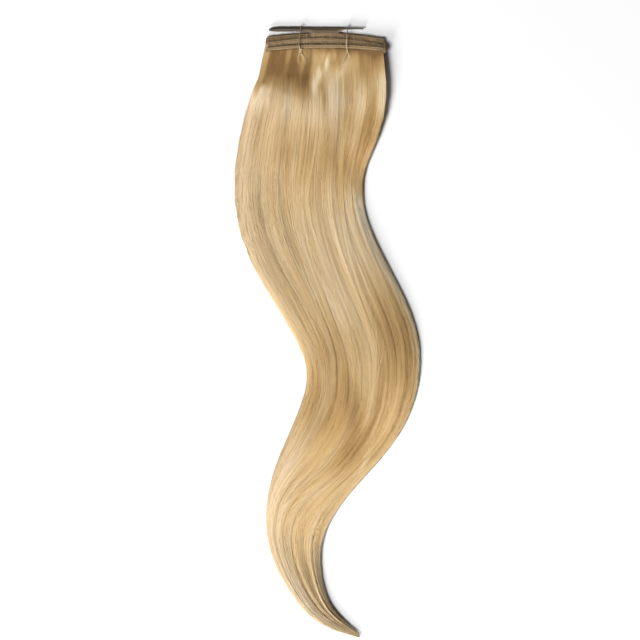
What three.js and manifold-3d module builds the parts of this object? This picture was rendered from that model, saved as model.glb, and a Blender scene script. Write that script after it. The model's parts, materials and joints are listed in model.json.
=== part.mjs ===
// A hair weft lying flat: a sewn band folded into three front courses, a bare rear course behind
// them, a fall of hair from each front course in locks, and two thread ties round the folded band.
// Millimetres. X runs across the band, the hair runs from +Y (roots) to -Y (tips), and +Z is up.
import * as THREE from "three";
import { mergeVertices } from "three/addons/utils/BufferGeometryUtils.js";
import Module from "manifold-3d";

const wasm = await Module();
wasm.setup();

// Driving dimensions
const GAP = 0.3; // clearance between neighbouring pieces
const BAND_WIDTH = 103; // the folded band, over its folds
const BAND_HEIGHT = 5.2; // one course of the band, measured along the hair
const BAND_THICK = 1.6;
const BAND_EDGE = 0.4; // chamfer along the band's edges
const SEAM_DEPTH = 0.25; // groove that the row of stitches pulls into the band
const SEAM_BELOW = 1.3; // the seam's distance below the middle of the band
const THREAD = 1; // diameter of a tie's thread
const BAND_LIFT = THREAD + GAP; // the lowest course lies on the ties' threads
const COURSE_PITCH = BAND_THICK + GAP; // from one front course up to the next
const LIFT_ENDS = -45; // height along Y where the hair has come down to the surface
const ROOT_SPREADS = { from: -4, to: -40 }; // where the locks begin and are fully formed
const LOCK_TIP = 0.03; // length of a lock's point, as a share of the hair's length
const THIN_EDGE = 0.35; // depth left at a fall's side edges, as a share of its full depth

// The part's origin, in the frame of the tables below: the middle of its box, on the surface.
const ORIGIN = new THREE.Vector3(1.3, -239.1, 0);

// Centre line of each front course: its height along Y at the left end, middle and right end.
const COURSES = [
  { left: 9.9, middle: 13.3, right: 8.4 },
  { left: 5.2, middle: 9.2, right: 2.8 },
  { left: 0.7, middle: 3.5, right: 0.5 },
];

// The rear course, from its round left end to its thin right end: place, and height of the band.
const REAR_COURSE = [
  { x: -48.5, y: 18.4, tall: 2 },
  { x: -46, y: 18.6, tall: 3.4 },
  { x: -40, y: 18.8, tall: 4.1 },
  { x: -25, y: 18.8, tall: 4.1 },
  { x: -15, y: 18.5, tall: 4.4 },
  { x: 0, y: 18.4, tall: 4.4 },
  { x: 9, y: 18.3, tall: 4.6 },
  { x: 12, y: 18.8, tall: 3.6 },
  { x: 15.5, y: 19.3, tall: 2 },
  { x: 22, y: 19.4, tall: 1.4 },
  { x: 32, y: 19.3, tall: 1 },
];

// Course of the whole bundle of hair: rows that steer its middle, half width and depth.
const HAIR_COURSE = [
  { x: 0, y: 12, half: 48, deep: 5.2 },
  { x: -2, y: -14, half: 52, deep: 5.3 },
  { x: -3.5, y: -39, half: 56.5, deep: 10 },
  { x: -12.5, y: -64, half: 56.5, deep: 11.6 },
  { x: -21, y: -90, half: 54, deep: 10.8 },
  { x: -24.5, y: -118, half: 55, deep: 9.4 },
  { x: -20.5, y: -147.5, half: 54, deep: 9 },
  { x: -9, y: -173, half: 51.5, deep: 8.8 },
  { x: 5, y: -198, half: 49.5, deep: 8.7 },
  { x: 20, y: -224.5, half: 49, deep: 8.5 },
  { x: 31.5, y: -250, half: 49.5, deep: 8.2 },
  { x: 33, y: -275.5, half: 48, deep: 7.8 },
  { x: 27, y: -302, half: 45, deep: 7.8 },
  { x: 10, y: -329.5, half: 39.5, deep: 8.6 },
  { x: -6, y: -353, half: 35, deep: 9.2 },
  { x: -18.5, y: -376.5, half: 31.5, deep: 8.8 },
  { x: -26.5, y: -403.5, half: 26, deep: 7.8 },
  { x: -25.5, y: -429.5, half: 20.5, deep: 6 },
  { x: -15, y: -461, half: 13.5, deep: 4.6 },
  { x: -1, y: -482.5, half: 9.5, deep: 3.7 },
  { x: 30, y: -498.5, half: 3, deep: 2.6 },
];

// The falls, from the surface up. inset narrows a fall below its roots, and share is its part of the
// bundle's depth. Locks run from left to right: relative width, length as a share of the course, and
// fullness.
const FALLS = [
  {
    name: "hair_fall_back",
    inset: 1,
    share: 0.29,
    locks: [
      { wide: 0.8, long: 1, full: 0.85 },
      { wide: 1.2, long: 1, full: 1 },
      { wide: 1, long: 1, full: 0.95 },
      { wide: 1.1, long: 0.99, full: 1 },
      { wide: 0.7, long: 0.97, full: 0.85 },
    ],
  },
  {
    name: "hair_fall_middle",
    inset: 0.965,
    share: 0.29,
    locks: [
      { wide: 0.9, long: 0.96, full: 0.85 },
      { wide: 1, long: 0.98, full: 1 },
      { wide: 1.3, long: 0.985, full: 0.95 },
      { wide: 0.9, long: 0.95, full: 1 },
      { wide: 0.8, long: 0.92, full: 0.85 },
    ],
  },
  {
    name: "hair_fall_front",
    inset: 0.92,
    share: 0.42,
    locks: [
      { wide: 0.9, long: 0.945, full: 0.8 },
      { wide: 1.3, long: 0.965, full: 1 },
      { wide: 1, long: 0.975, full: 0.88 },
      { wide: 1.4, long: 0.94, full: 1 },
      { wide: 0.9, long: 0.9, full: 0.84 },
      { wide: 1.2, long: 0.92, full: 0.97 },
      { wide: 1, long: 0.87, full: 0.88 },
      { wide: 0.8, long: 0.84, full: 0.78 },
    ],
  },
];
const LOCK_DEPTH = 0.38; // groove between locks, as a share of a fall's depth
const LOCK_SWAY = 0.035; // sideways wander of the grooves, as a share of the half width
const LINES_PER_LOCK = 3;
const FALL_STATIONS = 34;

// Each tie: its place across the band, and where the thread's two tails end, from the knot.
const TIES = [
  { name: "tie_left", x: -21.5, tails: [{ x: -1.8, y: -10.5 }, { x: 3.2, y: -10 }] },
  { name: "tie_right", x: 18, tails: [{ x: -3.6, y: -11 }, { x: 2, y: -7.5 }] },
];
const KNOT = { x: 1.2, y: 1.1, z: 0.75 }; // half sizes
const TAIL_RISE = 0.9; // the tails climb with the hair under them
const BEND = 0.9; // radius of the thread's bends round the band
const THREAD_SIDES = 8;

const hairColour = new THREE.MeshStandardMaterial({ color: 0xcdb083, roughness: 0.5, metalness: 0 });
const bandColour = new THREE.MeshStandardMaterial({ color: 0x826848, roughness: 0.8, metalness: 0 });
const threadColour = new THREE.MeshStandardMaterial({ color: 0xd8c9a8, roughness: 0.7, metalness: 0 });

// A closed solid through rings of points. Point i of a ring's first half faces point n - 1 - i of
// its second half, and the end caps are strips between the two halves.
function loft(rings) {
  const n = rings[0].length;
  const index = [];
  const quad = (a, b, c, d) => index.push(a, b, c, a, c, d);
  for (let r = 0; r + 1 < rings.length; r++) {
    for (let i = 0; i < n; i++) {
      const j = (i + 1) % n;
      quad(r * n + i, r * n + j, (r + 1) * n + j, (r + 1) * n + i);
    }
  }
  const last = (rings.length - 1) * n;
  for (let i = 0; i + 1 < n / 2; i++) {
    quad(n - 1 - i, n - 2 - i, i + 1, i);
    quad(last + i, last + i + 1, last + n - 2 - i, last + n - 1 - i);
  }
  const points = rings.flat().flatMap((p) => p.toArray());
  const geometry = new THREE.BufferGeometry();
  geometry.setAttribute("position", new THREE.Float32BufferAttribute(points, 3));
  geometry.setIndex(index);
  return facingOut(geometry);
}

// The geometry with its faces turned round if they enclose a negative volume.
function facingOut(geometry) {
  const index = geometry.index.array;
  const position = geometry.attributes.position;
  const [a, b, c] = [0, 1, 2].map(() => new THREE.Vector3());
  let volume = 0;
  for (let i = 0; i < index.length; i += 3) {
    a.fromBufferAttribute(position, index[i]);
    b.fromBufferAttribute(position, index[i + 1]);
    c.fromBufferAttribute(position, index[i + 2]);
    volume += a.dot(b.cross(c));
  }
  if (volume < 0) index.reverse();
  return geometry;
}

function toSolid(geometry) {
  const bare = geometry.clone();
  bare.deleteAttribute("normal");
  bare.deleteAttribute("uv");
  const merged = mergeVertices(bare, 1e-4);
  return new wasm.Manifold(
    new wasm.Mesh({
      numProp: 3,
      vertProperties: new Float32Array(merged.attributes.position.array),
      triVerts: new Uint32Array(merged.index.array),
    }),
  );
}

function toGeometry(solid) {
  const mesh = solid.getMesh();
  const geometry = new THREE.BufferGeometry();
  geometry.setAttribute("position", new THREE.BufferAttribute(mesh.vertProperties, 3));
  geometry.setIndex(new THREE.BufferAttribute(mesh.triVerts, 1));
  return geometry;
}

// Height along Y of a front course at x: the parabola through its three given heights.
function courseY(course, x) {
  const t = x / (BAND_WIDTH / 2);
  const slope = (course.right - course.left) / 2;
  const bow = (course.left + course.right) / 2 - course.middle;
  return course.middle + slope * t + bow * t * t;
}

const courseBottom = (i) => BAND_LIFT + i * COURSE_PITCH;

// Section of the band as [height, thickness] pairs round one side, with the seam's groove.
function bandSide(tall) {
  const h = tall / 2;
  const t = BAND_THICK / 2;
  const edge = Math.min(BAND_EDGE, h / 2);
  const seam = (-SEAM_BELOW * tall) / BAND_HEIGHT;
  const flank = (SEAM_DEPTH * tall) / BAND_HEIGHT;
  return [
    [-h, t - edge],
    [-h + edge, t],
    [seam - flank, t],
    [seam, t - SEAM_DEPTH],
    [seam + flank, t],
    [h - edge, t],
    [h, t - edge],
  ];
}

// A strip of band through stations. heading turns the strip in the XZ plane: 0 runs towards +X.
function strip(stations) {
  return loft(
    stations.map(({ x, y, z, heading, tall }) => {
      const side = bandSide(tall);
      const across = (out) => ([h, t]) =>
        new THREE.Vector3(x - out * t * Math.sin(heading), y + h, z + out * t * Math.cos(heading));
      return [...side.map(across(1)), ...side.toReversed().map(across(-1))];
    }),
  );
}

// The front courses as one strip: a run along each course and a half turn up to the next.
function weftBand() {
  const turn = COURSE_PITCH / 2;
  const reach = BAND_WIDTH / 2 - turn - BAND_THICK / 2;
  const runSteps = 14;
  const foldSteps = 6;
  const stations = [];
  COURSES.forEach((course, i) => {
    const way = i % 2 ? 1 : -1;
    const z = courseBottom(i) + BAND_THICK / 2;
    const heading = way > 0 ? 0 : Math.PI;
    for (let k = 0; k <= runSteps; k++) {
      const x = way * reach * ((2 * k) / runSteps - 1);
      stations.push({ x, y: courseY(course, x), z, heading, tall: BAND_HEIGHT });
    }
    const next = COURSES[i + 1];
    for (let k = 1; next && k < foldSteps; k++) {
      const share = k / foldSteps;
      const angle = share * Math.PI;
      const x = way * (reach + turn * Math.sin(angle));
      const ends = [courseY(course, way * reach), courseY(next, way * reach)];
      stations.push({
        x,
        y: THREE.MathUtils.lerp(...ends, THREE.MathUtils.smoothstep(share, 0, 1)),
        z: z + turn * (1 - Math.cos(angle)),
        heading: way > 0 ? angle : Math.PI - angle,
        tall: BAND_HEIGHT,
      });
    }
  });
  return strip(stations);
}

function rearCourse() {
  const z = BAND_LIFT + BAND_THICK / 2;
  return strip(REAR_COURSE.map((row) => ({ ...row, z, heading: 0 })));
}

// A uniform cubic B-spline that starts at the first of its points and ends at the last.
class SmoothCurve extends THREE.Curve {
  constructor(points) {
    super();
    const beyond = (end, inner) => end.clone().multiplyScalar(2).sub(inner);
    this.points = [beyond(points[0], points[1]), ...points, beyond(points.at(-1), points.at(-2))];
  }

  getPoint(t, target = new THREE.Vector3()) {
    const spans = this.points.length - 3;
    const span = Math.min(Math.floor(t * spans), spans - 1);
    const u = t * spans - span;
    const weights = [(1 - u) ** 3, 3 * u ** 3 - 6 * u ** 2 + 4, 1 + 3 * u + 3 * u ** 2 - 3 * u ** 3, u ** 3];
    target.set(0, 0, 0);
    weights.forEach((weight, i) => target.addScaledVector(this.points[span + i], weight / 6));
    return target;
  }
}

// The bundle's course as curves steered by the table's rows, read by share of its length.
const middleLine = new SmoothCurve(HAIR_COURSE.map(({ x, y }) => new THREE.Vector3(x, y, 0)));
middleLine.arcLengthDivisions = 800;
const sizeLine = new SmoothCurve(HAIR_COURSE.map(({ half, deep }) => new THREE.Vector3(half, deep, 0)));

// Place, sideways direction, half width and depth of the bundle at a share of its length.
function bundleAt(share) {
  const t = middleLine.getUtoTmapping(THREE.MathUtils.clamp(share, 0, 1));
  const ahead = middleLine.getTangent(t);
  const size = sizeLine.getPoint(t);
  return {
    middle: middleLine.getPoint(t),
    sideways: new THREE.Vector3(-ahead.y, ahead.x, 0),
    half: size.x,
    deep: size.y,
  };
}

// How far a height along Y has gone from one given height to another, as a smooth 0 to 1.
const passed = (y, from, to) => THREE.MathUtils.smoothstep(-y, -from, -to);

// Bottom and depth of fall i at a share of the length. At the roots each fall is as thick as the band.
function fallLevel(i, share) {
  const { middle, deep } = bundleAt(share);
  const formed = passed(middle.y, ROOT_SPREADS.from, ROOT_SPREADS.to);
  const hair = deep - GAP * (FALLS.length - 1);
  const depths = FALLS.map((fall) => hair * THREE.MathUtils.lerp(1 / FALLS.length, fall.share, formed));
  const lift = BAND_LIFT * (1 - passed(middle.y, ROOT_SPREADS.from, LIFT_ENDS));
  const below = depths.slice(0, i).reduce((sum, depth) => sum + depth + GAP, 0);
  return { bottom: lift + below, depth: depths[i], formed };
}

// Share of the length where the hair at a place across leaves the course above it.
function rootShare(course, across) {
  const length = middleLine.getLength();
  let share = 0;
  for (let pass = 0; pass < 6; pass++) {
    const { middle, sideways, half } = bundleAt(share);
    const at = middle.clone().addScaledVector(sideways, across * half);
    const root = courseY(course, at.x) - BAND_HEIGHT / 2 - GAP;
    share = Math.max(0, share + (at.y - root) / length);
  }
  return share;
}

// The lines that run down a fall. Each has its place across at a share of the length, the fullness of
// its lock there, and the share where it ends: long at a lock's middle and short in the grooves.
function fallLines(locks) {
  const total = locks.reduce((sum, lock) => sum + lock.wide, 0);
  const edges = [-1];
  locks.forEach((lock) => edges.push(Math.min(1, edges.at(-1) + (2 * lock.wide) / total)));
  const sway = (i, share) => {
    const inside = i > 0 && i < locks.length ? LOCK_SWAY : 0;
    return edges[i] + inside * Math.sin(2 * Math.PI * (1.4 * share + 0.37 * i));
  };
  const lines = [];
  for (let k = 0; k <= locks.length * LINES_PER_LOCK; k++) {
    const i = Math.min(Math.floor(k / LINES_PER_LOCK), locks.length - 1);
    const part = k / LINES_PER_LOCK - i;
    const away = Math.abs(2 * part - 1);
    const beside = away === 1 ? locks[Math.max(0, i - 1)] : locks[i];
    lines.push({
      across: (share) => THREE.MathUtils.lerp(sway(i, share), sway(i + 1, share), part),
      full: Math.min(locks[i].full, beside.full) * (1 - LOCK_DEPTH * away * away),
      end: Math.min(locks[i].long, beside.long) - LOCK_TIP * away * away,
    });
  }
  return lines;
}

// A fall of hair: its locks side by side, fused to one strip of roots under its course.
function hairFall(fall, i) {
  const lines = fallLines(fall.locks).map((line) => {
    return { ...line, start: rootShare(COURSES[i], line.across(0)) };
  });
  const rings = [];
  for (let k = 0; k <= FALL_STATIONS; k++) {
    const step = k / FALL_STATIONS;
    const down = step - 0.075 * Math.sin(2 * Math.PI * step); // closer together at both ends
    const top = [];
    const bottom = [];
    for (const line of lines) {
      const share = THREE.MathUtils.lerp(line.start, line.end, down);
      const across = line.across(share);
      const { middle, sideways, half } = bundleAt(share);
      const level = fallLevel(i, share);
      const reach = half * THREE.MathUtils.lerp(1, fall.inset, level.formed);
      const at = middle.clone().addScaledVector(sideways, across * reach);
      const edge = THIN_EDGE + (1 - THIN_EDGE) * Math.sqrt(1 - Math.abs(across) ** 3);
      const full = THREE.MathUtils.lerp(1, line.full * edge, level.formed);
      bottom.unshift(new THREE.Vector3(at.x, at.y, level.bottom));
      top.push(new THREE.Vector3(at.x, at.y, level.bottom + level.depth * full));
    }
    rings.push([...top, ...bottom]);
  }
  return loft(rings);
}

// A thread through points, as a round tube. side is a direction that the thread never runs along.
function thread(points, side) {
  const rings = points.map((point, i) => {
    const before = points[Math.max(0, i - 1)];
    const after = points[Math.min(points.length - 1, i + 1)];
    const ahead = after.clone().sub(before).normalize();
    const out = side.clone().addScaledVector(ahead, -side.dot(ahead)).normalize();
    const up = ahead.clone().cross(out);
    return Array.from({ length: THREAD_SIDES }, (_, k) => {
      const angle = (2 * Math.PI * (k + 0.5)) / THREAD_SIDES;
      return point
        .clone()
        .addScaledVector(out, (THREAD / 2) * Math.sin(angle))
        .addScaledVector(up, (THREAD / 2) * Math.cos(angle));
    });
  });
  return loft(rings);
}

// A path's corners rounded by short curves that start and end a bend's length from each corner.
function rounded(corners) {
  const path = [corners[0]];
  for (let i = 1; i + 1 < corners.length; i++) {
    const towards = (other) => {
      const reach = Math.min(BEND, corners[i].distanceTo(other) / 2);
      return corners[i].clone().add(other.clone().sub(corners[i]).setLength(reach));
    };
    const bend = new THREE.QuadraticBezierCurve3(towards(corners[i - 1]), corners[i], towards(corners[i + 1]));
    path.push(...bend.getPoints(3));
  }
  path.push(corners.at(-1));
  return path;
}

// Height along Y of the rear course's upper edge at x, between the two rows beside it.
function rearEdge(x) {
  const next = REAR_COURSE.findIndex((row) => row.x > x);
  const [a, b] = REAR_COURSE.slice(next - 1, next + 1);
  const edge = (row) => row.y + row.tall / 2;
  return THREE.MathUtils.mapLinear(x, a.x, b.x, edge(a), edge(b));
}

// Where a tie's thread goes: down through the hair below the front course and round the rear course.
function tiePlace(tie) {
  const clear = GAP + THREAD / 2;
  const front = courseY(COURSES.at(-1), tie.x);
  return {
    low: front - BAND_HEIGHT / 2 - clear,
    frontEdge: front + BAND_HEIGHT / 2,
    rearEdge: rearEdge(tie.x),
    high: rearEdge(tie.x) + clear,
    over: courseBottom(COURSES.length - 1) + BAND_THICK + clear,
    overRear: BAND_LIFT + BAND_THICK + clear,
    under: THREAD / 2,
  };
}

function tieThread(tie) {
  const at = tiePlace(tie);
  const point = (y, z) => new THREE.Vector3(tie.x, y, z);
  const loop = rounded([
    point(at.low - KNOT.y / 2, at.over),
    point(at.frontEdge, at.over),
    point(at.rearEdge, at.overRear),
    point(at.high, at.overRear - BEND),
    point(at.high, at.under),
    point(at.low, at.under),
    point(at.low, at.over + THREAD / 4),
  ]);
  const knotMiddle = point(at.low - KNOT.y / 4, at.over + THREAD / 4);
  const knot = new THREE.SphereGeometry(1, 10, 8).scale(KNOT.x, KNOT.y, KNOT.z).translate(...knotMiddle);
  const tails = tie.tails.map((tail) => {
    const end = knotMiddle.clone().add(new THREE.Vector3(tail.x, tail.y, TAIL_RISE));
    const pull = knotMiddle.clone().add(new THREE.Vector3(tail.x, tail.y * 0.4, TAIL_RISE * 0.6));
    return thread(new THREE.QuadraticBezierCurve3(knotMiddle, pull, end).getPoints(7), new THREE.Vector3(0, 0, 1));
  });
  return [knot, ...tails].map(toSolid).reduce((a, b) => a.add(b), toSolid(thread(loop, new THREE.Vector3(1, 0, 0))));
}

// The hole that a tie's thread keeps open through the hair.
function tieHole(tie) {
  const { low } = tiePlace(tie);
  const radius = THREAD / 2 + GAP;
  const tall = 30;
  return new THREE.CylinderGeometry(radius, radius, tall, THREAD_SIDES).rotateX(Math.PI / 2).translate(tie.x, low, 0);
}

function piece(name, geometry, material) {
  const mesh = new THREE.Mesh(geometry, material);
  mesh.name = name;
  return mesh;
}

const weft = new THREE.Group();
weft.add(piece("weft_band", weftBand(), bandColour));
weft.add(piece("rear_course", rearCourse(), bandColour));
const holes = TIES.map((tie) => toSolid(tieHole(tie)));
FALLS.forEach((fall, i) => {
  const parted = holes.reduce((hair, hole) => hair.subtract(hole), toSolid(hairFall(fall, i)));
  weft.add(piece(fall.name, toGeometry(parted), hairColour));
});
TIES.forEach((tie) => weft.add(piece(tie.name, toGeometry(tieThread(tie)), threadColour)));
weft.position.copy(ORIGIN).negate();

const part = new THREE.Group();
part.add(weft);
export default part;
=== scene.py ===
"""Looks of a blond hair weft that lies flat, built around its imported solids.

Sizes in the tables are millimetres, in the solids' drawing frame: X across the band, Y along the hair
with the roots at +Y, Z up, and the zero point on the surface below the middle of the folded band.
"""

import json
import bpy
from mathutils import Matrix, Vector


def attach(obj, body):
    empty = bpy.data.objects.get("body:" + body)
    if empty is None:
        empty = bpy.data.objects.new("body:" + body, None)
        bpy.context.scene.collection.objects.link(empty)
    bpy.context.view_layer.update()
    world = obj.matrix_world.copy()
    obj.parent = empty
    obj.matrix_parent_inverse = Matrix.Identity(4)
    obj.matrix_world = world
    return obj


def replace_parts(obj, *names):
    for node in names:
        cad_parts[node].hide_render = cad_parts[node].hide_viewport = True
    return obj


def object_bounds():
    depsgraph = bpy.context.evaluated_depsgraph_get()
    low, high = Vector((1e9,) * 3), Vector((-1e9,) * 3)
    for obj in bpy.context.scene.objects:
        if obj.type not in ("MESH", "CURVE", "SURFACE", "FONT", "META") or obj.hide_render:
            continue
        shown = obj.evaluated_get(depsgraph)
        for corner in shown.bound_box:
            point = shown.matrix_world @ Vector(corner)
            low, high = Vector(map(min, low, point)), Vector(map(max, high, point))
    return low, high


bl_info = {
    "name": "Hair weft",
    "version": (1, 0, 0),
    "blender": (4, 5, 0),
    "location": "View3D > Sidebar > Weft",
    "description": "Dresses the solids of a hair weft with strands, a sewn band and thread ties",
    "category": "Object",
}

import bpy
import numpy as np
from bpy.props import FloatProperty, FloatVectorProperty, IntProperty, PointerProperty

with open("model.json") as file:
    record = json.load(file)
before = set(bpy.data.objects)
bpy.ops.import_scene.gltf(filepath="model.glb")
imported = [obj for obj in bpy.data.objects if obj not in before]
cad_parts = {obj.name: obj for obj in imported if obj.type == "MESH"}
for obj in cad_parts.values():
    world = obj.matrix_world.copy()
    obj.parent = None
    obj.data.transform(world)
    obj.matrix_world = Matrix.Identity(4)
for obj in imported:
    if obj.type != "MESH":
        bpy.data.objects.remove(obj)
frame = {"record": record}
CAD_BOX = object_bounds()

# Metres in a millimetre, the clear distance between pieces, the rise from one course of the band to the
# next, the lowest course's height over the surface, and how far the band's mount is from zero along Y.
MM = 0.001
GAP = 0.3
COURSE_PITCH = 1.9
BAND_LIFT = 1.3
FACE_ABOVE_ZERO = 4.3

# Places along Y: where the lift of the band has run out, where the falls begin to take their own form,
# where they have it, and where their sides are fully round.
LIFT_ENDS = -45
ROOT_FROM, ROOT_TO = -4, -40
WALL_TO = -95

# The mount on the front course's face fixes the drawing frame inside the part's frame.
FACE = next(m for m in frame["record"]["mounts"] if m["name"] == "band_face")["pos_m"]
ZERO = np.array([FACE[0], FACE[1] - FACE_ABOVE_ZERO * MM, 0.0])

# Centre line of each front course: height along Y at its left end, middle and right end.
COURSES = ((9.9, 13.3, 8.4), (5.2, 9.2, 2.8), (0.7, 3.5, 0.5))

# The rear course: x, y and height of the band.
REAR_COURSE = (
    (-48.5, 18.4, 2),
    (-46, 18.6, 3.4),
    (-40, 18.8, 4.1),
    (-25, 18.8, 4.1),
    (-15, 18.5, 4.4),
    (0, 18.4, 4.4),
    (9, 18.3, 4.6),
    (12, 18.8, 3.6),
    (15.5, 19.3, 2),
    (22, 19.4, 1.4),
    (32, 19.3, 1),
)

# Course of the whole bundle of hair: rows that steer its x, y, half width and depth.
HAIR_COURSE = (
    (0, 12, 48, 5.2),
    (-2, -14, 52, 5.3),
    (-3.5, -39, 56.5, 10),
    (-12.5, -64, 56.5, 11.6),
    (-21, -90, 54, 10.8),
    (-24.5, -118, 55, 9.4),
    (-20.5, -147.5, 54, 9),
    (-9, -173, 51.5, 8.8),
    (5, -198, 49.5, 8.7),
    (20, -224.5, 49, 8.5),
    (31.5, -250, 49.5, 8.2),
    (33, -275.5, 48, 7.8),
    (27, -302, 45, 7.8),
    (10, -329.5, 39.5, 8.6),
    (-6, -353, 35, 9.2),
    (-18.5, -376.5, 31.5, 8.8),
    (-26.5, -403.5, 26, 7.8),
    (-25.5, -429.5, 20.5, 6),
    (-15, -461, 13.5, 4.6),
    (-1, -482.5, 9.5, 3.7),
    (30, -498.5, 3, 2.6),
)

# Locks of each fall from left to right: relative width, length as a share of the course, fullness.
BACK_LOCKS = ((0.8, 1, 0.85), (1.2, 1, 1), (1, 1, 0.95), (1.1, 0.99, 1), (0.7, 0.97, 0.85))
MIDDLE_LOCKS = ((0.9, 0.96, 0.85), (1, 0.98, 1), (1.3, 0.985, 0.95), (0.9, 0.95, 1), (0.8, 0.92, 0.85))
FRONT_LOCKS = (
    (0.9, 0.945, 0.8),
    (1.3, 0.965, 1),
    (1, 0.975, 0.88),
    (1.4, 0.94, 1),
    (0.9, 0.9, 0.84),
    (1.2, 0.92, 0.97),
    (1, 0.87, 0.88),
    (0.8, 0.84, 0.78),
)

# Depth of each fall as a share of the hair's depth, from the back to the front.
FALL_SHARES = (0.29, 0.29, 0.42)

# Locks: depth of the grooves between them as a share of the fall, how far they sway in half widths, their
# waves along the hair and the shift of each to the next, how much further their middles reach, how much
# of a groove the strands leave, and how much of the strands' own rise is left at the roots.
LOCK_DEPTH = 0.38
LOCK_SWAY, SWAY_WAVES, SWAY_SHIFT = 0.035, 1.4, 0.37
LOCK_TIP = 0.03
COVER_GROOVE = 0.34
ROOT_RISE = 0.3

# The folded band over its folds, the height and half height of one course, how much lower and thinner
# a course is at its upper edge, and the steps along a course, a fold and the rear course.
BAND_WIDTH = 103
BAND_HEIGHT = 5.2
BAND_HALF = BAND_HEIGHT / 2
BAND_SAG = 0.8
BAND_THIN = 0.6
BAND_STEPS, FOLD_STEPS = 300, 22
REAR_STEPS = 250

# Relief of the band's face: waves of its ribs in radians for each mm, their depth, and the heights over
# the middle, half width and depth of its seams.
RIB_WAVES = (4.1, 5.3, 6.7, 2.2, 3.1, 7.9)
RIB_DEEP = 0.16
SEAM_HEIGHTS = (-1.2, 1.1)
SEAM_HALF, SEAM_DEEP = 0.3, 0.2

# Steps along X: where a step begins, where it ends, amount. They paint shade in grey on the band's
# folded ends, and let the rear course lap the band, change its painted grey shade and take the band's
# own colour where it is joined.
SHADED_ENDS = ((38, 51, 0.6), (-46, -51, 0.35))
LAP_HALF = 14
REAR_LAP = ((-15, -9, 1.8), (8, 13, -1.8))
REAR_SHADE = ((-24, -10, -0.28), (10, 16, 0.2))
REAR_JOIN = ((-18, -10, 0.75), (9, 14, -0.75))

# Stitches: height of the upper seam over a course's middle, how deep the rows sit in the face, how much
# thinner the upper row's thread is, the share of its length that a stitch fills, how high it arches, and
# its sides.
UPPER_SEAM = 1.3
STITCH_DEEP = 0.18
UPPER_THINNER = 0.25
STITCH_FILL = 0.94
STITCH_ARCH = 0.22
STITCH_SIDES = 6

# Strands: sides of their tubes, how far they stay over the surface, the last share they may reach, how
# many wisps they gather into, the share of strands that end late, and the main tone and its spread.
STRAND_SIDES = 3
FLOOR_CLEAR = 0.02
LAST_SHARE = 0.998
WISPS = 34
LATE_STRANDS = 0.35
HAIR_TONE = 0.62
STRAND_TONE = 0.035

# Steps along a strand: share of its length where a step begins, share where it ends, amount. One from -1
# to 0 holds all along. They fade its rise, and narrow it to its tip and its root.
RISE_FADE = ((-1, 0, 1), (0.93, 1, -0.6))
TIP_TAPER = ((-1, 0, 1), (0.82, 1, -0.75))
ROOT_TAPER = ((-1, 0, 0.75), (0, 0.04, 0.25))

# Surface strands: seed, width against a strand of the falls, lift. They begin up to so many mm over the
# band's lower edge.
SURFACE_LAYERS = ((44, 0.86, 0.1), (45, 0.72, 0.2))
OVER_BAND = 0.9

# Widths of a lock's strands and of stray hairs against a strand of the falls, the lanes of stray hairs, the
# first and last share of a lock, and the shares of the flat map that the heart of a fall and the locks
# that stand out take.
LOCK_STRAND, STRAY_STRAND = 0.7, 0.5
STRAY_LANES = (0.96, 1.03)
LOCK_SHARES = (0.012, 0.995)
HEART_MAP, ACCENT_MAP = 0.3, 0.25

# How the hair leans across its course: share where a lean begins, share where it ends, half widths.
LEANS = (
    (0.05, 0.21, 0.28),
    (0.26, 0.50, -0.26),
    (0.52, 0.64, 0.18),
    (0.67, 0.81, -0.70),
    (0.85, 1.00, 0.20),
)

# In the same columns: the pull towards the middle of the tip, and the lean of the tufts below the roots.
TIP_PULL = ((0.90, 1.00, 0.25), (0.965, 1.00, 0.40))
TUFT_LEANS = ((0.02, 0.045, 0.02), (0.10, 0.20, -0.02))
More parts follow.
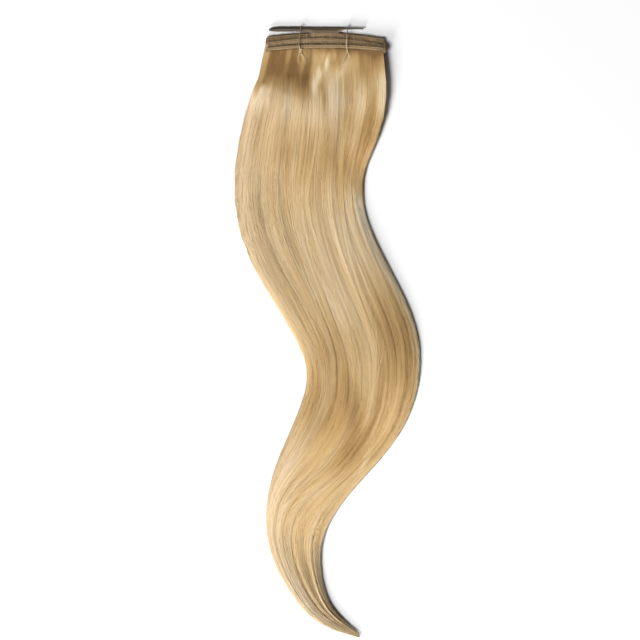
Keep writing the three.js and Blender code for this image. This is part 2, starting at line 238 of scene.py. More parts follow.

# Light and dark stretches of the hair. They hold painted light and shade of its waves, bends and slopes,
# as well as its own lighter and darker tone: place across and along, their reach across and along, how
# much lighter, and how far across they go for each share along.
TONE_AND_PAINTED_LIGHT = (
    (-0.78, 0.052, 0.46, 0.038, -0.50, 0),
    (-0.44, 0.064, 0.17, 0.028, -0.24, 0),
    (0.00, 0.038, 0.30, 0.014, -0.10, 0),
    (-0.30, 0.074, 0.09, 0.026, -0.30, 2),
    (-0.25, 0.050, 0.07, 0.016, -0.22, 0),
    (0.21, 0.034, 0.10, 0.013, -0.24, -4),
    (0.72, 0.036, 0.28, 0.026, -0.32, 0),
    (0.38, 0.068, 0.14, 0.016, -0.14, -3),
    (-0.03, 0.054, 0.07, 0.030, 0.20, -6),
    (0.24, 0.056, 0.05, 0.024, 0.20, -6),
    (0.52, 0.046, 0.06, 0.026, 0.10, 0),
    (0.16, 0.112, 0.26, 0.034, 0.12, 0),
    (0.65, 0.084, 0.10, 0.022, 0.28, 0),
    (-0.90, 0.122, 0.22, 0.022, 0.16, 0),
    (-0.98, 0.092, 0.14, 0.018, -0.36, 0),
    (-0.76, 0.042, 0.10, 0.016, -0.26, 0),
    (0.05, 0.084, 0.05, 0.018, -0.36, 4),
    (-0.10, 0.069, 0.06, 0.014, 0.36, -4),
    (0.24, 0.084, 0.12, 0.016, 0.18, 0),
    (0.86, 0.120, 0.17, 0.038, -0.32, 0),
    (0.50, 0.122, 0.16, 0.020, -0.16, 0),
    (0.20, 0.185, 0.60, 0.048, -0.26, 0),
    (0.82, 0.200, 0.32, 0.050, -0.22, 0),
    (-0.75, 0.170, 0.25, 0.026, -0.08, 0),
    (-0.28, 0.128, 0.36, 0.022, 0.12, 0),
    (0.85, 0.340, 0.30, 0.090, 0.16, 0),
    (-0.75, 0.360, 0.22, 0.050, -0.06, 0),
    (0.10, 0.360, 0.50, 0.080, 0.07, 0),
    (0.10, 0.430, 0.60, 0.030, 0.08, 0),
    (-0.05, 0.500, 0.30, 0.040, 0.10, 0),
    (0.64, 0.488, 0.38, 0.074, -0.30, 0),
    (-0.45, 0.500, 0.45, 0.060, -0.20, 0),
    (-0.28, 0.600, 0.45, 0.060, -0.17, 0),
    (0.12, 0.605, 0.18, 0.045, -0.20, 8),
    (-0.90, 0.600, 0.20, 0.050, -0.10, 0),
    (0.08, 0.585, 0.14, 0.025, -0.26, 3),
    (-0.60, 0.632, 0.42, 0.032, -0.14, 0),
    (0.00, 0.620, 1.40, 0.150, -0.08, 0),
    (0.30, 0.648, 0.15, 0.032, -0.18, 3),
    (0.50, 0.636, 0.40, 0.046, -0.18, 0),
    (-0.05, 0.770, 0.30, 0.035, -0.09, 0),
    (-0.62, 0.900, 0.50, 0.050, 0.16, 0),
    (0.00, 0.960, 0.90, 0.035, 0.10, 0),
)

# How far the streaks push the stretches' borders along and across, how uneven they make them, and the
# power that gives a stretch its flat top.
RAGGED_ALONG = 0.007
RAGGED_ACROSS = 0.03
UNEVEN = 0.2
BELL_POWER = 1.4

# The dark roots: how much darker, the share where they begin to fade, and how fast.
ROOT_DARK, ROOT_SHARE, ROOT_FADE = 0.55, 0.0175, 0.006

# Steps along the hair, in the same columns as those along a strand. Along the sides, each row is the place
# across where it begins and where it is full, then its steps.
STREAK_STEPS = ((-1, 0, 0.5), (0.06, 0.16, 0.5))
STREAK_SIDES = ((-0.3, -0.8, ((-1, 0, -0.4), (0.30, 0.45, 0.4))),)
# Painted light along the right edge, where the hair's round side turns away from the lamps.
RIGHT_EDGE_PAINTED_LIGHT = (
    (0.030, 0.070, 0.6),
    (0.085, 0.105, -0.6),
    (0.250, 0.310, 0.8),
    (0.470, 0.580, -0.6),
    (0.750, 0.850, 0.4),
)
# Tone steps along the left edge, and the painted light along the right edge.
TONE_SIDES = ((-0.86, -1.0, ((0.10, 0.15, -0.06),)), (0.82, 1.0, RIGHT_EDGE_PAINTED_LIGHT))
ASH_STEPS = ((-1, 0, 0.22), (0.05, 0.09, 0.2), (0.30, 0.45, -0.2))
ASH_SIDES = (
    (0.72, 1.0, ((0.75, 0.88, 0.5),)),
    (-0.3, -0.9, ((0.05, 0.09, 0.7), (0.20, 0.45, -0.7))),
    (0.0, -0.8, ((0.50, 0.72, 0.75), (0.90, 1.00, -0.45))),
)

# Locks that stand out: lane and share at their start and end, half width, how much lighter, rise in mm.
# Lighter locks are paler hair with painted highlight, and darker ones paint the shade of grooves.
ACCENTS = (
    (0.01, 0.292, -0.13, 0.440, 0.012, -0.42, 0.25),
    (-0.13, 0.430, -0.10, 0.590, 0.018, -0.32, 0.25),
    (-0.30, 0.312, -0.40, 0.415, 0.022, 0.24, 0.40),
    (-0.04, 0.335, -0.24, 0.520, 0.024, 0.24, 0.40),
    (-0.68, 0.300, -0.58, 0.520, 0.014, -0.36, 0.25),
    (-0.62, 0.345, -0.50, 0.525, 0.020, 0.18, 0.40),
    (0.48, 0.425, 0.12, 0.560, 0.030, 0.18, 0.40),
    (0.10, 0.535, 0.44, 0.640, 0.026, 0.20, 0.40),
    (0.58, 0.580, 0.62, 0.660, 0.022, 0.20, 0.40),
    (0.60, 0.610, 0.92, 0.690, 0.012, 0.36, 0.45),
    (0.40, 0.690, -0.80, 0.810, 0.012, 0.24, 0.35),
    (0.50, 0.692, -0.64, 0.812, 0.008, -0.16, 0.25),
    (0.60, 0.690, -0.48, 0.816, 0.012, 0.22, 0.35),
    (0.26, 0.820, 0.40, 0.930, 0.050, -0.26, 0.30),
    (0.62, 0.840, 0.45, 0.960, 0.035, 0.08, 0.40),
    (0.13, 0.026, -0.20, 0.090, 0.020, 0.10, 0.40),
    (0.36, 0.026, 0.14, 0.072, 0.016, 0.10, 0.40),
    (-0.37, 0.034, -0.30, 0.062, 0.012, -0.50, 0.20),
    (-0.33, 0.030, -0.22, 0.072, 0.026, 0.10, 0.40),
    (0.92, 0.020, 0.95, 0.130, 0.030, 0.12, 0.30),
)

# Points of the ties' tails, from the knot.
TAILS_LEFT = (((-1.2, -2.6), (-2.0, -6), (-1.8, -10.5)), ((1.0, -3), (2.6, -6), (3.2, -10)))
TAILS_RIGHT = (((-0.8, -3), (-2.4, -7), (-3.6, -11)), ((1.2, -2.5), (2.1, -5), (2, -7.5)))

# Each tie: place across the band, sideways lean of its loop at the front course, the height along Y where
# its thread sinks into the band's colour, its knot's half size, and the points of its two tails.
TIES = (
    ("tie_left", -21.5, -1.7, 3.0, (0.42, 1.0), TAILS_LEFT),
    ("tie_right", 18, -0.4, 9.0, (0.22, 0.45), TAILS_RIGHT),
)
TAIL_RISE = 2.0

# The knot's place over and below the loop, its depth, how far the loop runs on under it and drops behind
# the rear course, the bends of the loop and the tails, and how thin the knot's thread is pulled.
KNOT_RISE, KNOT_BELOW, KNOT_DEEP = 0.25, 0.3, 0.3
LOOP_PAST, LOOP_DROP = 0.5, 0.9
LOOP_BEND, TAIL_BEND = 0.9, 2.0
KNOT_THREAD = 0.75

# The photograph's scale, the pixel where the drawing frame's zero point lies, and the height in the
# middle of the hair that the scale holds for.
PIXEL_MM = 0.85
ZERO_PIXEL = (326, 51)
PICTURE_PIXELS = 640
SCALE_HEIGHT = 5.0

# The stage in metres and watts: half the floor's side and its points each way, the camera's distance and
# sensor in mm, the room's light, and for each lamp its place, size and power.
FLOOR_HALF, FLOOR_POINTS = 3.0, 13
CAMERA_AWAY, SENSOR_MM = 2.0, 36
ROOM_LIGHT = 0.07
LAMPS = (("key", (-3.7, -3.45, 4.8), 2.6, 650), ("low", (-3.6, -6.2, 2.4), 1.8, 620))


def length(name, description, default):
    """A size in millimetres that a user can change."""
    return FloatProperty(name=name, description=description, default=default)


def tint(name, description, default):
    """A colour that a user can change, as linear values."""
    return FloatVectorProperty(name=name, description=description, subtype="COLOR", default=default)


class WeftSizes(bpy.types.PropertyGroup):
    """Sizes of the weft's pieces, in millimetres."""

    band_width: length("Band width", "The folded band, over its folds", BAND_WIDTH)
    band_height: length("Band height", "One course, along the hair", BAND_HEIGHT)
    band_thick: length("Band thickness", "One course of the band", 1.6)
    seam_below: length("Seam", "How far it is below the band's middle", 1.3)
    stitch: length("Stitch length", "From one stitch to the next", 2.2)
    stitch_thread: length("Stitch thread", "Diameter of the sewing thread", 0.42)
    tie_thread: length("Tie thread", "Diameter of a tie's thread", 0.75)
    fibre: length("Fibre", "Diameter of the band's short hairs", 0.2)
    strand: length("Strand", "Width of a strand of hair", 0.5)


class WeftColours(bpy.types.PropertyGroup):
    """Colours of the weft and its stage, as linear values."""

    deep: tint("Deep hair", "Hair in shade", (0.24, 0.135, 0.05))
    golden: tint("Golden hair", "Middle tone", (0.475, 0.3, 0.115))
    blond: tint("Blond hair", "Main tone", (0.65, 0.465, 0.228))
    pale: tint("Pale hair", "Lightest tone", (0.82, 0.655, 0.42))
    ash_deep: tint("Deep ash", "Ashen shade", (0.2, 0.135, 0.075))
    ash: tint("Ash", "Ashen middle tone", (0.4, 0.285, 0.165))
    ash_blond: tint("Ash blond", "Ashen main tone", (0.64, 0.492, 0.308))
    ash_pale: tint("Pale ash", "Lightest ash", (0.8, 0.685, 0.52))
    band: tint("Band", "Sewn hair of the band", (0.385, 0.262, 0.138))
    # Painted shade along the edges of the courses.
    band_edge_shade: tint("Band shade", "Its upper edges", (0.30, 0.212, 0.1))
    seam: tint("Seam", "Paler hair along the seam", (0.56, 0.405, 0.245))
    # The rear course's near-black greys are painted shade, darkest along its upper edge.
    rear: tint("Rear course", "The bare rear course", (0.1, 0.082, 0.058))
    rear_dark: tint("Rear shade", "Its upper edge", (0.058, 0.048, 0.036))
    stitches: tint("Stitches", "Sewing thread", (0.6, 0.45, 0.28))
    thread: tint("Tie thread", "Beige thread", (0.72, 0.58, 0.39))
    floor: tint("Floor", "Pale surface", (0.84, 0.84, 0.84))


class WeftCounts(bpy.types.PropertyGroup):
    """How finely the hair is made."""

    stations: IntProperty(name="Stations", description="Rings along a strand", default=34)
    front: IntProperty(name="Front strands", description="Strands of the front fall", default=620)
    surface: IntProperty(name="Surface strands", description="Strands of each surface layer", default=860)
    under: IntProperty(name="Under strands", description="Strands of each lower fall", default=180)
    locks: IntProperty(name="Locks", description="Small locks laid on the hair", default=60)
    fibres: IntProperty(name="Fibres", description="Short hairs on each course", default=420)
    loose: IntProperty(name="Loose strands", description="Stray hairs at the edges", default=70)


class Value:
    """A shader socket that takes part in Python sums: each operator adds one Math node."""

    def __init__(self, finish, socket):
        self.finish = finish
        self.socket = socket

    def math(self, operation, first, second):
        node = self.finish.node("ShaderNodeMath", {"operation": operation}, {0: first, 1: second})
        return Value(self.finish, node.outputs[0])

    def __add__(self, other):
        return self.math("ADD", self, other)

    def __sub__(self, other):
        return self.math("SUBTRACT", self, other)

    def __rsub__(self, other):
        return self.math("SUBTRACT", other, self)

    def __mul__(self, other):
        return self.math("MULTIPLY", self, other)

    __radd__ = __add__
    __rmul__ = __mul__


class Finish:
    """A material: its nodes come from one method, and its values are summed in Python."""

    def __init__(self, name, roughness, shine):
        self.material = bpy.data.materials.new(name)
        self.material.use_nodes = True
        self.nodes = self.material.node_tree.nodes
        self.links = self.material.node_tree.links
        self.shader = self.nodes["Principled BSDF"]
        self.shader.inputs["Roughness"].default_value = roughness
        self.shader.inputs["Specular IOR Level"].default_value = shine

    def node(self, kind, settings, inputs):
        """A new node of a kind: its settings first, a ramp's stops among them, then its sockets."""
        node = self.nodes.new(kind)
        for key, setting in settings.items():
            if key == "stops":
                set_stops(node.color_ramp, setting)
            else:
                setattr(node, key, setting)
        for key, value in inputs.items():
            self.put(node.inputs[key], value)
        return node

    def put(self, socket, value):
        """Links a value to a socket, or sets the socket's own number or colour."""
        if isinstance(value, Value):
            self.links.new(value.socket, socket)
        else:
            socket.default_value = value

    def value(self, kind, settings, inputs, output):
        """One output of a new node, as a value."""
        return Value(self, self.node(kind, settings, inputs).outputs[output])

    def attribute(self, name):
        """A number kept on the piece's vertices."""
        return self.value("ShaderNodeAttribute", {"attribute_name": name}, {}, "Fac")

    def noise(self, vector, stretch, detail=2.0):
        """Noise over a vector that is stretched first, so that its own scale is 1."""
        spread = self.value("ShaderNodeMapping", {}, {"Vector": vector, "Scale": stretch}, "Vector")
        inputs = {"Vector": spread, "Scale": 1.0, "Detail": detail}
        return self.value("ShaderNodeTexNoise", {}, inputs, "Fac")

    def ramp(self, value, stops):
        return self.value("ShaderNodeValToRGB", {"stops": stops}, {"Fac": value}, "Color")

    def mix(self, share, first, second):
        """Two colours mixed by a share."""
        inputs = {"Factor": share, 6: first, 7: second}
        return self.value("ShaderNodeMix", {"data_type": "RGBA"}, inputs, 2)

    def bump(self, height, strength, distance):
        inputs = {"Height": height, "Strength": strength, "Distance": distance}
        normal = self.value("ShaderNodeBump", {}, inputs, "Normal")
        self.put(self.shader.inputs["Normal"], normal)


def set_stops(ramp, stops):
    """Gives a colour ramp its stops, each a place and a colour."""
    while len(ramp.elements) < len(stops):
        ramp.elements.new(1.0)
    for element, (place, colour) in zip(ramp.elements, stops):
        element.position = place
        element.color = (*colour, 1.0)


def hair_finish(name, colours):
    """Hair: its tone, which holds painted light and shade as well as the hair's own colour, runs from deep
    shade to pale blond, golden or ashen, with fine streaks along it.
    """
    finish = Finish(name, roughness=0.45, shine=0.4)
    along = finish.value("ShaderNodeUVMap", {"uv_map": "lay"}, {}, "UV")
    streaks = finish.noise(along, (90, 5, 1))
    fine = finish.noise(along, (420, 9, 1))
    streaky, ash_strength = 0.1, 1.6
    tone = finish.attribute("tone") + (streaks - 0.5) * streaky + (fine - 0.5) * streaky
    places = (0.05, 0.34, 0.64, 0.95)
    golds = (colours.deep, colours.golden, colours.blond, colours.pale)
    ashes = (colours.ash_deep, colours.ash, colours.ash_blond, colours.ash_pale)
    golden, ashy = (finish.ramp(tone, list(zip(places, tints))) for tints in (golds, ashes))
    colour = finish.mix(finish.attribute("ash") * tone * ash_strength, golden, ashy)
    finish.put(finish.shader.inputs["Base Color"], colour)
    finish.bump(fine, 0.2, 0.0003)
    return finish.material


def band_finish(name, colours):
    """Sewn hair: short fibres that run along Y. Each course has painted shade at its edges, most along its
    upper edge, and is pale along its seam; it turns grey as painted shade where its mark says so."""
    finish = Finish(name, roughness=0.7, shine=0.3)
    place = finish.value("ShaderNodeTexCoord", {}, {}, "Object")
    fibres = finish.noise(place, (1500, 160, 700), 3.0)
    patches = finish.noise(place, (70, 120, 60))
    height = finish.attribute("height") + (patches - 0.5) * 0.34 + (fibres - 0.5) * 0.2
    # The dark stops at both ends of the height paint shade along the course's edges.
    dark, plain, pale = colours.band_edge_shade, colours.band, colours.seam
    stops = ((0.02, dark), (0.14, plain), (0.24, pale), (0.38, plain), (0.7, plain), (0.97, dark))
    # The rear course's colours: painted shade, darkest at the upper edge.
    grey = finish.ramp(height, ((0.1, colours.rear), (0.6, colours.rear), (0.95, colours.rear_dark)))
    colour = finish.mix(finish.attribute("grey"), finish.ramp(height, stops), grey)
    finish.put(finish.shader.inputs["Base Color"], colour)
    finish.put(finish.shader.inputs["Roughness"], 0.8 - fibres * 0.2)
    finish.bump(fibres, 0.5, 0.0004)
    return finish.material


def thread_finish(name, colour, sunk_colour):
    """Spun thread: fibres darken it in streaks, and it takes another colour where its mark says so."""
    finish = Finish(name, roughness=0.65, shine=0.3)
    place = finish.value("ShaderNodeTexCoord", {}, {}, "Object")
    fibres = finish.noise(place, (2600, 1300, 2600), 3.0)
    clean, dull = (
        finish.ramp(fibres, ((0.3, [0.62 * c for c in shade]), (0.62, shade)))
        for shade in (colour, sunk_colour)
    )
    finish.put(finish.shader.inputs["Base Color"], finish.mix(finish.attribute("sunk"), clean, dull))
    finish.bump(fibres, 0.3, 0.0002)
    return finish.material


def floor_finish(name, colour):
    """A pale surface with a faint unevenness."""
    finish = Finish(name, roughness=0.8, shine=0.2)
    place = finish.value("ShaderNodeTexCoord", {}, {}, "Object")
    clouds = finish.noise(place, (3, 3, 3))
    shade = [0.985 * c for c in colour]
    finish.put(finish.shader.inputs["Base Color"], finish.ramp(clouds, ((0.3, shade), (0.7, colour))))
    return finish.material


def smooth(value, start, end):
    """A share that rises from 0 at start to 1 at end on a cubic with level ends."""
    t = np.clip((value - start) / (end - start), 0, 1)
    return t * t * (3 - 2 * t)


def stepped(share, steps):
    """Sum of eased steps: each begins and ends at a given value and adds its amount."""
    return sum(amount * smooth(share, start, end) for start, end, amount in steps)


def beside(across, share, sides):
    """Sum of steps along the sides of the hair, each eased in across."""
    return sum(smooth(across, start, end) * stepped(share, steps) for start, end, steps in sides)


def in_frame(points):
    """Millimetres of the drawing frame as metres of the part's frame."""
    return np.asarray(points) * MM + ZERO


class Bundle:
    """The bundle's course: a uniform cubic B-spline steered by its table's rows, read by share of the
    middle line's length."""

    def __init__(self, rows, steps=48):
        rows = np.array(rows, float)
        row = np.vstack([2 * rows[0] - rows[1], rows, 2 * rows[-1] - rows[-2]])[:, None, :]
        t = np.linspace(0, 1, steps, endpoint=False)[None, :, None]
        weights = ((1 - t) ** 3, 3 * t**3 - 6 * t**2 + 4, 1 + 3 * t + 3 * t**2 - 3 * t**3, t**3)
        spans = len(rows) - 1
        cubic = sum(weight * row[i : i + spans] for i, weight in enumerate(weights)) / 6
        table = np.vstack([cubic.reshape(-1, rows.shape[1]), rows[-1]])
        ahead = np.gradient(table[:, :2], axis=0)
        ahead /= np.linalg.norm(ahead, axis=1, keepdims=True)
        gone = np.concatenate([[0], np.cumsum(np.linalg.norm(np.diff(table[:, :2], axis=0), axis=1))])
        self.length = gone[-1]
        self.share = gone / self.length
        self.columns = np.column_stack([table, -ahead[:, 1], ahead[:, 0]]).T

    def at(self, share):
        """x, y, half width, depth and the sideways direction at shares of the length."""
        return [np.interp(share, self.share, column) for column in self.columns]


BUNDLE = Bundle(HAIR_COURSE)


class Fall:
    """One fall of hair. A lane is a place across it, from -1 at the left edge to 1 at the right, and
    keeps its lock all the way down. The front fall comes down over the others' sides."""

    def __init__(self, index, inset, locks):
        self.index = index
        self.inset = inset
        wide, self.long, self.full = np.array(locks, float).T
        self.edges = np.concatenate([[-1], 2 * np.cumsum(wide) / wide.sum() - 1])
        self.middles = (self.edges[:-1] + self.edges[1:]) / 2

    def off_middle(self, lane):
        """Distance from a lane's lock middle, 1 in the grooves."""
        lock = np.clip(np.searchsorted(self.edges, lane) - 1, 0, len(self.middles) - 1)
        return np.clip((lane - self.middles[lock]) / np.diff(self.edges)[lock] * 2, -1, 1)

    def end(self, lane):
        """Share of the course where a lane's hair ends: later at the middle of a lock."""
        return np.interp(lane, self.middles, self.long) - LOCK_TIP * self.off_middle(lane) ** 2

    def start(self, lane):
        """Share of the course where a lane leaves the band, found by stepping along Y."""
        share = np.zeros_like(lane)
        for _ in range(6):
            x, y, half, _, side_x, side_y = BUNDLE.at(share)
            root = course_y(COURSES[self.index], x + lane * half * side_x) - BAND_HALF - GAP
            share = np.maximum(0, share + (y + lane * half * side_y - root) / BUNDLE.length)
        return share

    def sway(self, lane, share):
        """Sideways wander of the locks: a sine down each groove, and between grooves in proportion."""
        waves = np.arange(len(self.edges))
        amount = np.where((waves > 0) & (waves < len(waves) - 1), LOCK_SWAY, 0)
        left = np.clip(np.searchsorted(self.edges, lane) - 1, 0, len(self.middles) - 1)
        part = np.clip((lane - self.edges[left]) / np.diff(self.edges)[left], 0, 1)
        wave = [
            amount[i] * np.sin(2 * np.pi * (SWAY_WAVES * share + SWAY_SHIFT * i))
            for i in (left, left + 1)
        ]
        return (1 - part) * wave[0] + part * wave[1]

    def place(self, lane, share, aside=0.0, height=1.0, above=0.0):
        """Points of the hair: aside in half widths, height as a share of the fall's depth, above in mm.
        Heights are times a round side: the root of 1 less the fourth power of the place across."""
        x, y, half, deep, side_x, side_y = BUNDLE.at(share)
        formed = smooth(-y, -ROOT_FROM, -ROOT_TO)
        hair = deep - GAP * (len(FALL_SHARES) - 1)
        depths = [hair * ((1 - formed) / len(FALL_SHARES) + formed * part) for part in FALL_SHARES]
        bottom = BAND_LIFT * (1 - smooth(-y, -ROOT_FROM, -LIFT_ENDS))
        bottom = bottom + sum((depth + GAP for depth in depths[: self.index]), 0)
        groove = 1 - LOCK_DEPTH * self.off_middle(lane) ** 2
        crown = np.interp(lane, self.middles, self.full) * groove
        across = lane + self.sway(lane, share) + aside
        side = np.sqrt(np.clip(1 - across**4, 0, 1))
        full = 1 + formed * COVER_GROOVE * (crown - 1)
        wall = smooth(-y, -ROOT_FROM, -WALL_TO)
        z = (bottom + depths[self.index] * full * height) * (1 + wall * (side - 1))
        z = z + above * (ROOT_RISE + (1 - ROOT_RISE) * formed)
        reach = across * half * (1 + formed * (self.inset - 1))
        return np.stack(np.broadcast_arrays(x + reach * side_x, y + reach * side_y, z), -1)


FALLS = (
    Fall(0, 0.97, BACK_LOCKS),
    Fall(1, 0.98, MIDDLE_LOCKS),
    Fall(2, 1.0, FRONT_LOCKS),
)


class Streaks:
    """Smooth random numbers over the hair: a grid of draws, many across and few along, read between
    its points with eased weights."""

    def __init__(self, seed, across, along):
        self.grid = np.random.default_rng(seed).normal(0, 1, (across + 2, along + 2))
        self.across = across
        self.along = along

    def at(self, lane, share):
        lane, share = np.broadcast_arrays(lane, share)
        reach, last = 1.1, 0.9999
        u = np.clip((lane + reach) / (2 * reach), 0, last) * self.across
        v = np.clip(share, 0, last) * self.along
        i, j = u.astype(int), v.astype(int)
        a, b = smooth(u - i, 0, 1), smooth(v - j, 0, 1)
        near = (1 - b) * self.grid[i, j] + b * self.grid[i, j + 1]
        far = (1 - b) * self.grid[i + 1, j] + b * self.grid[i + 1, j + 1]
        return (1 - a) * near + a * far


DRIFT = ((0.030, Streaks(3, 9, 7)), (0.009, Streaks(4, 26, 12)))
SWELL = ((0.26, Streaks(5, 20, 9)), (0.11, Streaks(6, 54, 12)))
TONES = ((0.045, Streaks(7, 14, 7)), (0.045, Streaks(8, 44, 12)), (0.05, Streaks(9, 130, 20)))
ASHES = ((0.16, Streaks(10, 18, 8)), (0.10, Streaks(11, 70, 12)))
TUFTS = Streaks(12, 22, 30)


def total(fields, lane, share):
    """Sum of several streaks, each times its amount."""
    return sum(amount * streaks.at(lane, share) for amount, streaks in fields)


def loose(share):
    """How freely the hair wanders: not at all at the roots."""
    return smooth(share, 0.02, 0.14)


def drift(lane, share):
    """Sideways drift of the hair in half widths: it leans most at its middle, wanders with the streaks
    but not at the roots and little at the edges, and is pulled to the middle of the tip."""
    middle = 1 - np.clip(lane, -1, 1) ** 2
    lean = stepped(share, LEANS) + TUFTS.at(lane, share) * stepped(share, TUFT_LEANS)
    at_edge = 0.15
    free = loose(share) * (at_edge + (1 - at_edge) * middle)
    return lean * middle + total(DRIFT, lane, share) * free - stepped(share, TIP_PULL) * lane


def lane_at(across, share):
    """The lane whose hair passes a place across, found by stepping back against the drift."""
    lane = across
    for _ in range(14):
        lane = 0.5 * (lane + across - drift(lane, share))
    return np.clip(lane, -1, 1)


def shading(lane, share, across):
    """Tone of the hair: streaks in its lanes and darker roots, then at its places across its edges, with
    painted light along the right edge, and a flat-topped bell for each stretch, which holds painted light
    and shade as well as the hair's own tone, and whose borders the streaks push about."""
    streaks = TONES[1][1].at(lane, 0.4 * share)
    ragged = share + RAGGED_ALONG * streaks
    wavy = across + RAGGED_ACROSS * TUFTS.at(lane, share)
    uneven = np.clip(1 + UNEVEN * streaks, 0.5, 1.5)
    grown = stepped(share, STREAK_STEPS) + beside(across, share, STREAK_SIDES)
    roots = ROOT_DARK * np.exp(-np.maximum(share - ROOT_SHARE, 0) / ROOT_FADE)
    tone = total(TONES, lane, share) * grown - roots + beside(across, share, TONE_SIDES)
    # Each stretch adds painted light and shade, and the hair's own tone, as a flat-topped bell.
    for place, along, wide, long, lighter, slope in TONE_AND_PAINTED_LIGHT:
        off = ((wavy - place - slope * (share - along)) / wide) ** 2 + ((ragged - along) / long) ** 2
        tone = tone + lighter * uneven * np.exp(-(off**BELL_POWER))
    return tone


def ashen(lane, share, across):
    """How far the hair goes from golden to ashen: in streaks, more on the left and at the right edge of
    the tail."""
    ash = stepped(share, ASH_STEPS) + beside(across, share, ASH_SIDES)
    return np.clip(ash + total(ASHES, lane, share), 0, 1)


def tubes(paths, radius, sides, upright=(0.0, 0.0, 1.0)):
    """Tubes along many paths at once, whose rings stand across each path. Returns the points as paths,
    stations and sides."""
    ahead = np.gradient(paths, axis=1)
    out = np.cross(ahead, np.asarray(upright, float))
    out /= np.linalg.norm(out, axis=-1, keepdims=True) + 1e-12
    up = np.cross(out, ahead)
    up /= np.linalg.norm(up, axis=-1, keepdims=True) + 1e-12
    angle = 2 * np.pi * np.arange(sides) / sides + np.pi / 2
    ring = np.cos(angle)[:, None] * out[..., None, :] + np.sin(angle)[:, None] * up[..., None, :]
    return paths[..., None, :] + np.asarray(radius)[..., None, None] * ring


def tube_faces(count, stations, sides):
    """Quads of tubes made ring by ring, then their two caps."""
    ring = np.arange(sides)
    next_ring = (ring + 1) % sides
    quad = np.stack([ring, next_ring, next_ring + sides, ring + sides], -1)
    step = sides * np.arange(stations - 1)[:, None, None]
    start = stations * sides * np.arange(count)[:, None, None, None]
    quads = (start + step + quad).reshape(-1, 4)
    first = stations * sides * np.arange(count)[:, None]
    caps = np.concatenate([first + ring[::-1], first + (stations - 1) * sides + ring])
    return quads, caps


def tube_sheet(count, stations, sides, left, right, rows=6):
    """Flat map of tubes: tiles in rows between left and right, a tube to each tile, its caps at the ends."""
    columns = -(-count // rows)
    wide, tall = (right - left) / columns, 1 / rows
    order = np.arange(count)
    corner = np.stack([left + wide * (order % columns), tall * (order // columns)], -1)
    side = np.arange(sides)[None, :, None] + np.array([0, 1, 1, 0])
    low = np.arange(stations - 1)[:, None, None] + np.array([0, 0, 1, 1])
    edge, fill = 0.06, 0.88
    u = np.broadcast_to(edge + fill * side / sides, (stations - 1, sides, 4))
    v = np.broadcast_to(edge + fill * low / (stations - 1), u.shape)
    quads = corner[:, None, :] + np.stack([u, v], -1).reshape(1, -1, 2) * (wide, tall)
    angle = 2 * np.pi * np.arange(sides) / sides
    spot = np.stack([0.5 + 0.4 * np.cos(angle), 0.5 + 0.4 * np.sin(angle)], -1)
    caps = [corner[:, None, :] + (spot * (1, 0.05) + (0, at)) * (wide, tall) for at in (0.004, 0.946)]
    return quads.reshape(-1, 2), np.concatenate(caps).reshape(-1, 2)


def slab_faces(rows, columns):
    """Quads of a closed slab: its top grid, its bottom grid turned over, and the walls between."""
    grid = np.arange(rows * columns).reshape(rows, columns)
    top = np.stack([grid[:-1, :-1], grid[1:, :-1], grid[1:, 1:], grid[:-1, 1:]], -1).reshape(-1, 4)
    bottom = (top + rows * columns)[:, ::-1]
    rim = np.concatenate([grid[0, :-1], grid[:-1, -1], grid[-1, :0:-1], grid[:0:-1, 0]])
    after = np.roll(rim, -1)
    wall = np.stack([rim, after, after + rows * columns, rim + rows * columns], -1)
    return np.concatenate([top, bottom, wall])


def slab_sheet(rows, columns, left, right):
    """Flat map of a slab between left and right: top, bottom and walls side by side."""
    u, v = np.meshgrid(np.linspace(0, 1, columns), np.linspace(0, 1, rows))
    flat = np.stack([u, v], -1)
    cell = np.stack([flat[:-1, :-1], flat[1:, :-1], flat[1:, 1:], flat[:-1, 1:]], 2).reshape(-1, 4, 2)
    width = right - left
    edge, tall = 0.01, 0.98
    top_wide, bottom_wide, bottom_from, walls_from, walls_wide = 0.62, 0.3, 0.64, 0.96, 0.02
    top = cell * (top_wide * width, tall) + (left, edge)
    bottom = cell[:, ::-1] * (bottom_wide * width, tall) + (left + bottom_from * width, edge)
    walls = 2 * (rows - 1) + 2 * (columns - 1)
    at = np.arange(walls)[:, None] / walls + np.array([0, 1, 1, 0]) / walls
    strip = np.stack([left + width * (walls_from + walls_wide * np.array([0, 0, 1, 1])) + 0 * at, at], -1)
    return np.concatenate([top, bottom, strip]).reshape(-1, 2)


def make_piece(name, points, faces, finish, maps=None, marks=None):
    """A mesh object from arrays: points in metres, groups of faces with equal corner counts, flat maps
    by corner and numbers by point. Groups after the first are flat caps. It rides on the one body."""
    corners = np.concatenate([group.ravel() for group in faces])
    sizes = np.concatenate([np.full(len(group), group.shape[1]) for group in faces])
    mesh = bpy.data.meshes.new(name)
    mesh.vertices.add(len(points))
    mesh.vertices.foreach_set("co", np.asarray(points, np.float32).ravel())
    mesh.loops.add(len(corners))
    mesh.loops.foreach_set("vertex_index", corners.astype(np.int32))
    mesh.polygons.add(len(sizes))
    mesh.polygons.foreach_set("loop_start", (np.cumsum(sizes) - sizes).astype(np.int32))
    mesh.polygons.foreach_set("use_smooth", np.arange(len(sizes)) < len(faces[0]))
    mesh.update(calc_edges=True)
    for key, places in (maps or {}).items():
        layer = mesh.uv_layers.new(name=key)
        layer.data.foreach_set("uv", np.asarray(places, np.float32).ravel())
    for key, numbers in (marks or {}).items():
        attribute = mesh.attributes.new(key, "FLOAT", "POINT")
        attribute.data.foreach_set("value", np.asarray(numbers, np.float32).ravel())
    if mesh.validate():
        raise RuntimeError(f"{name} has faces that don't close")
    mesh.materials.append(finish)
    piece = bpy.data.objects.new(name, mesh)
    bpy.context.scene.collection.objects.link(piece)
    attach(piece, "root")
    return piece


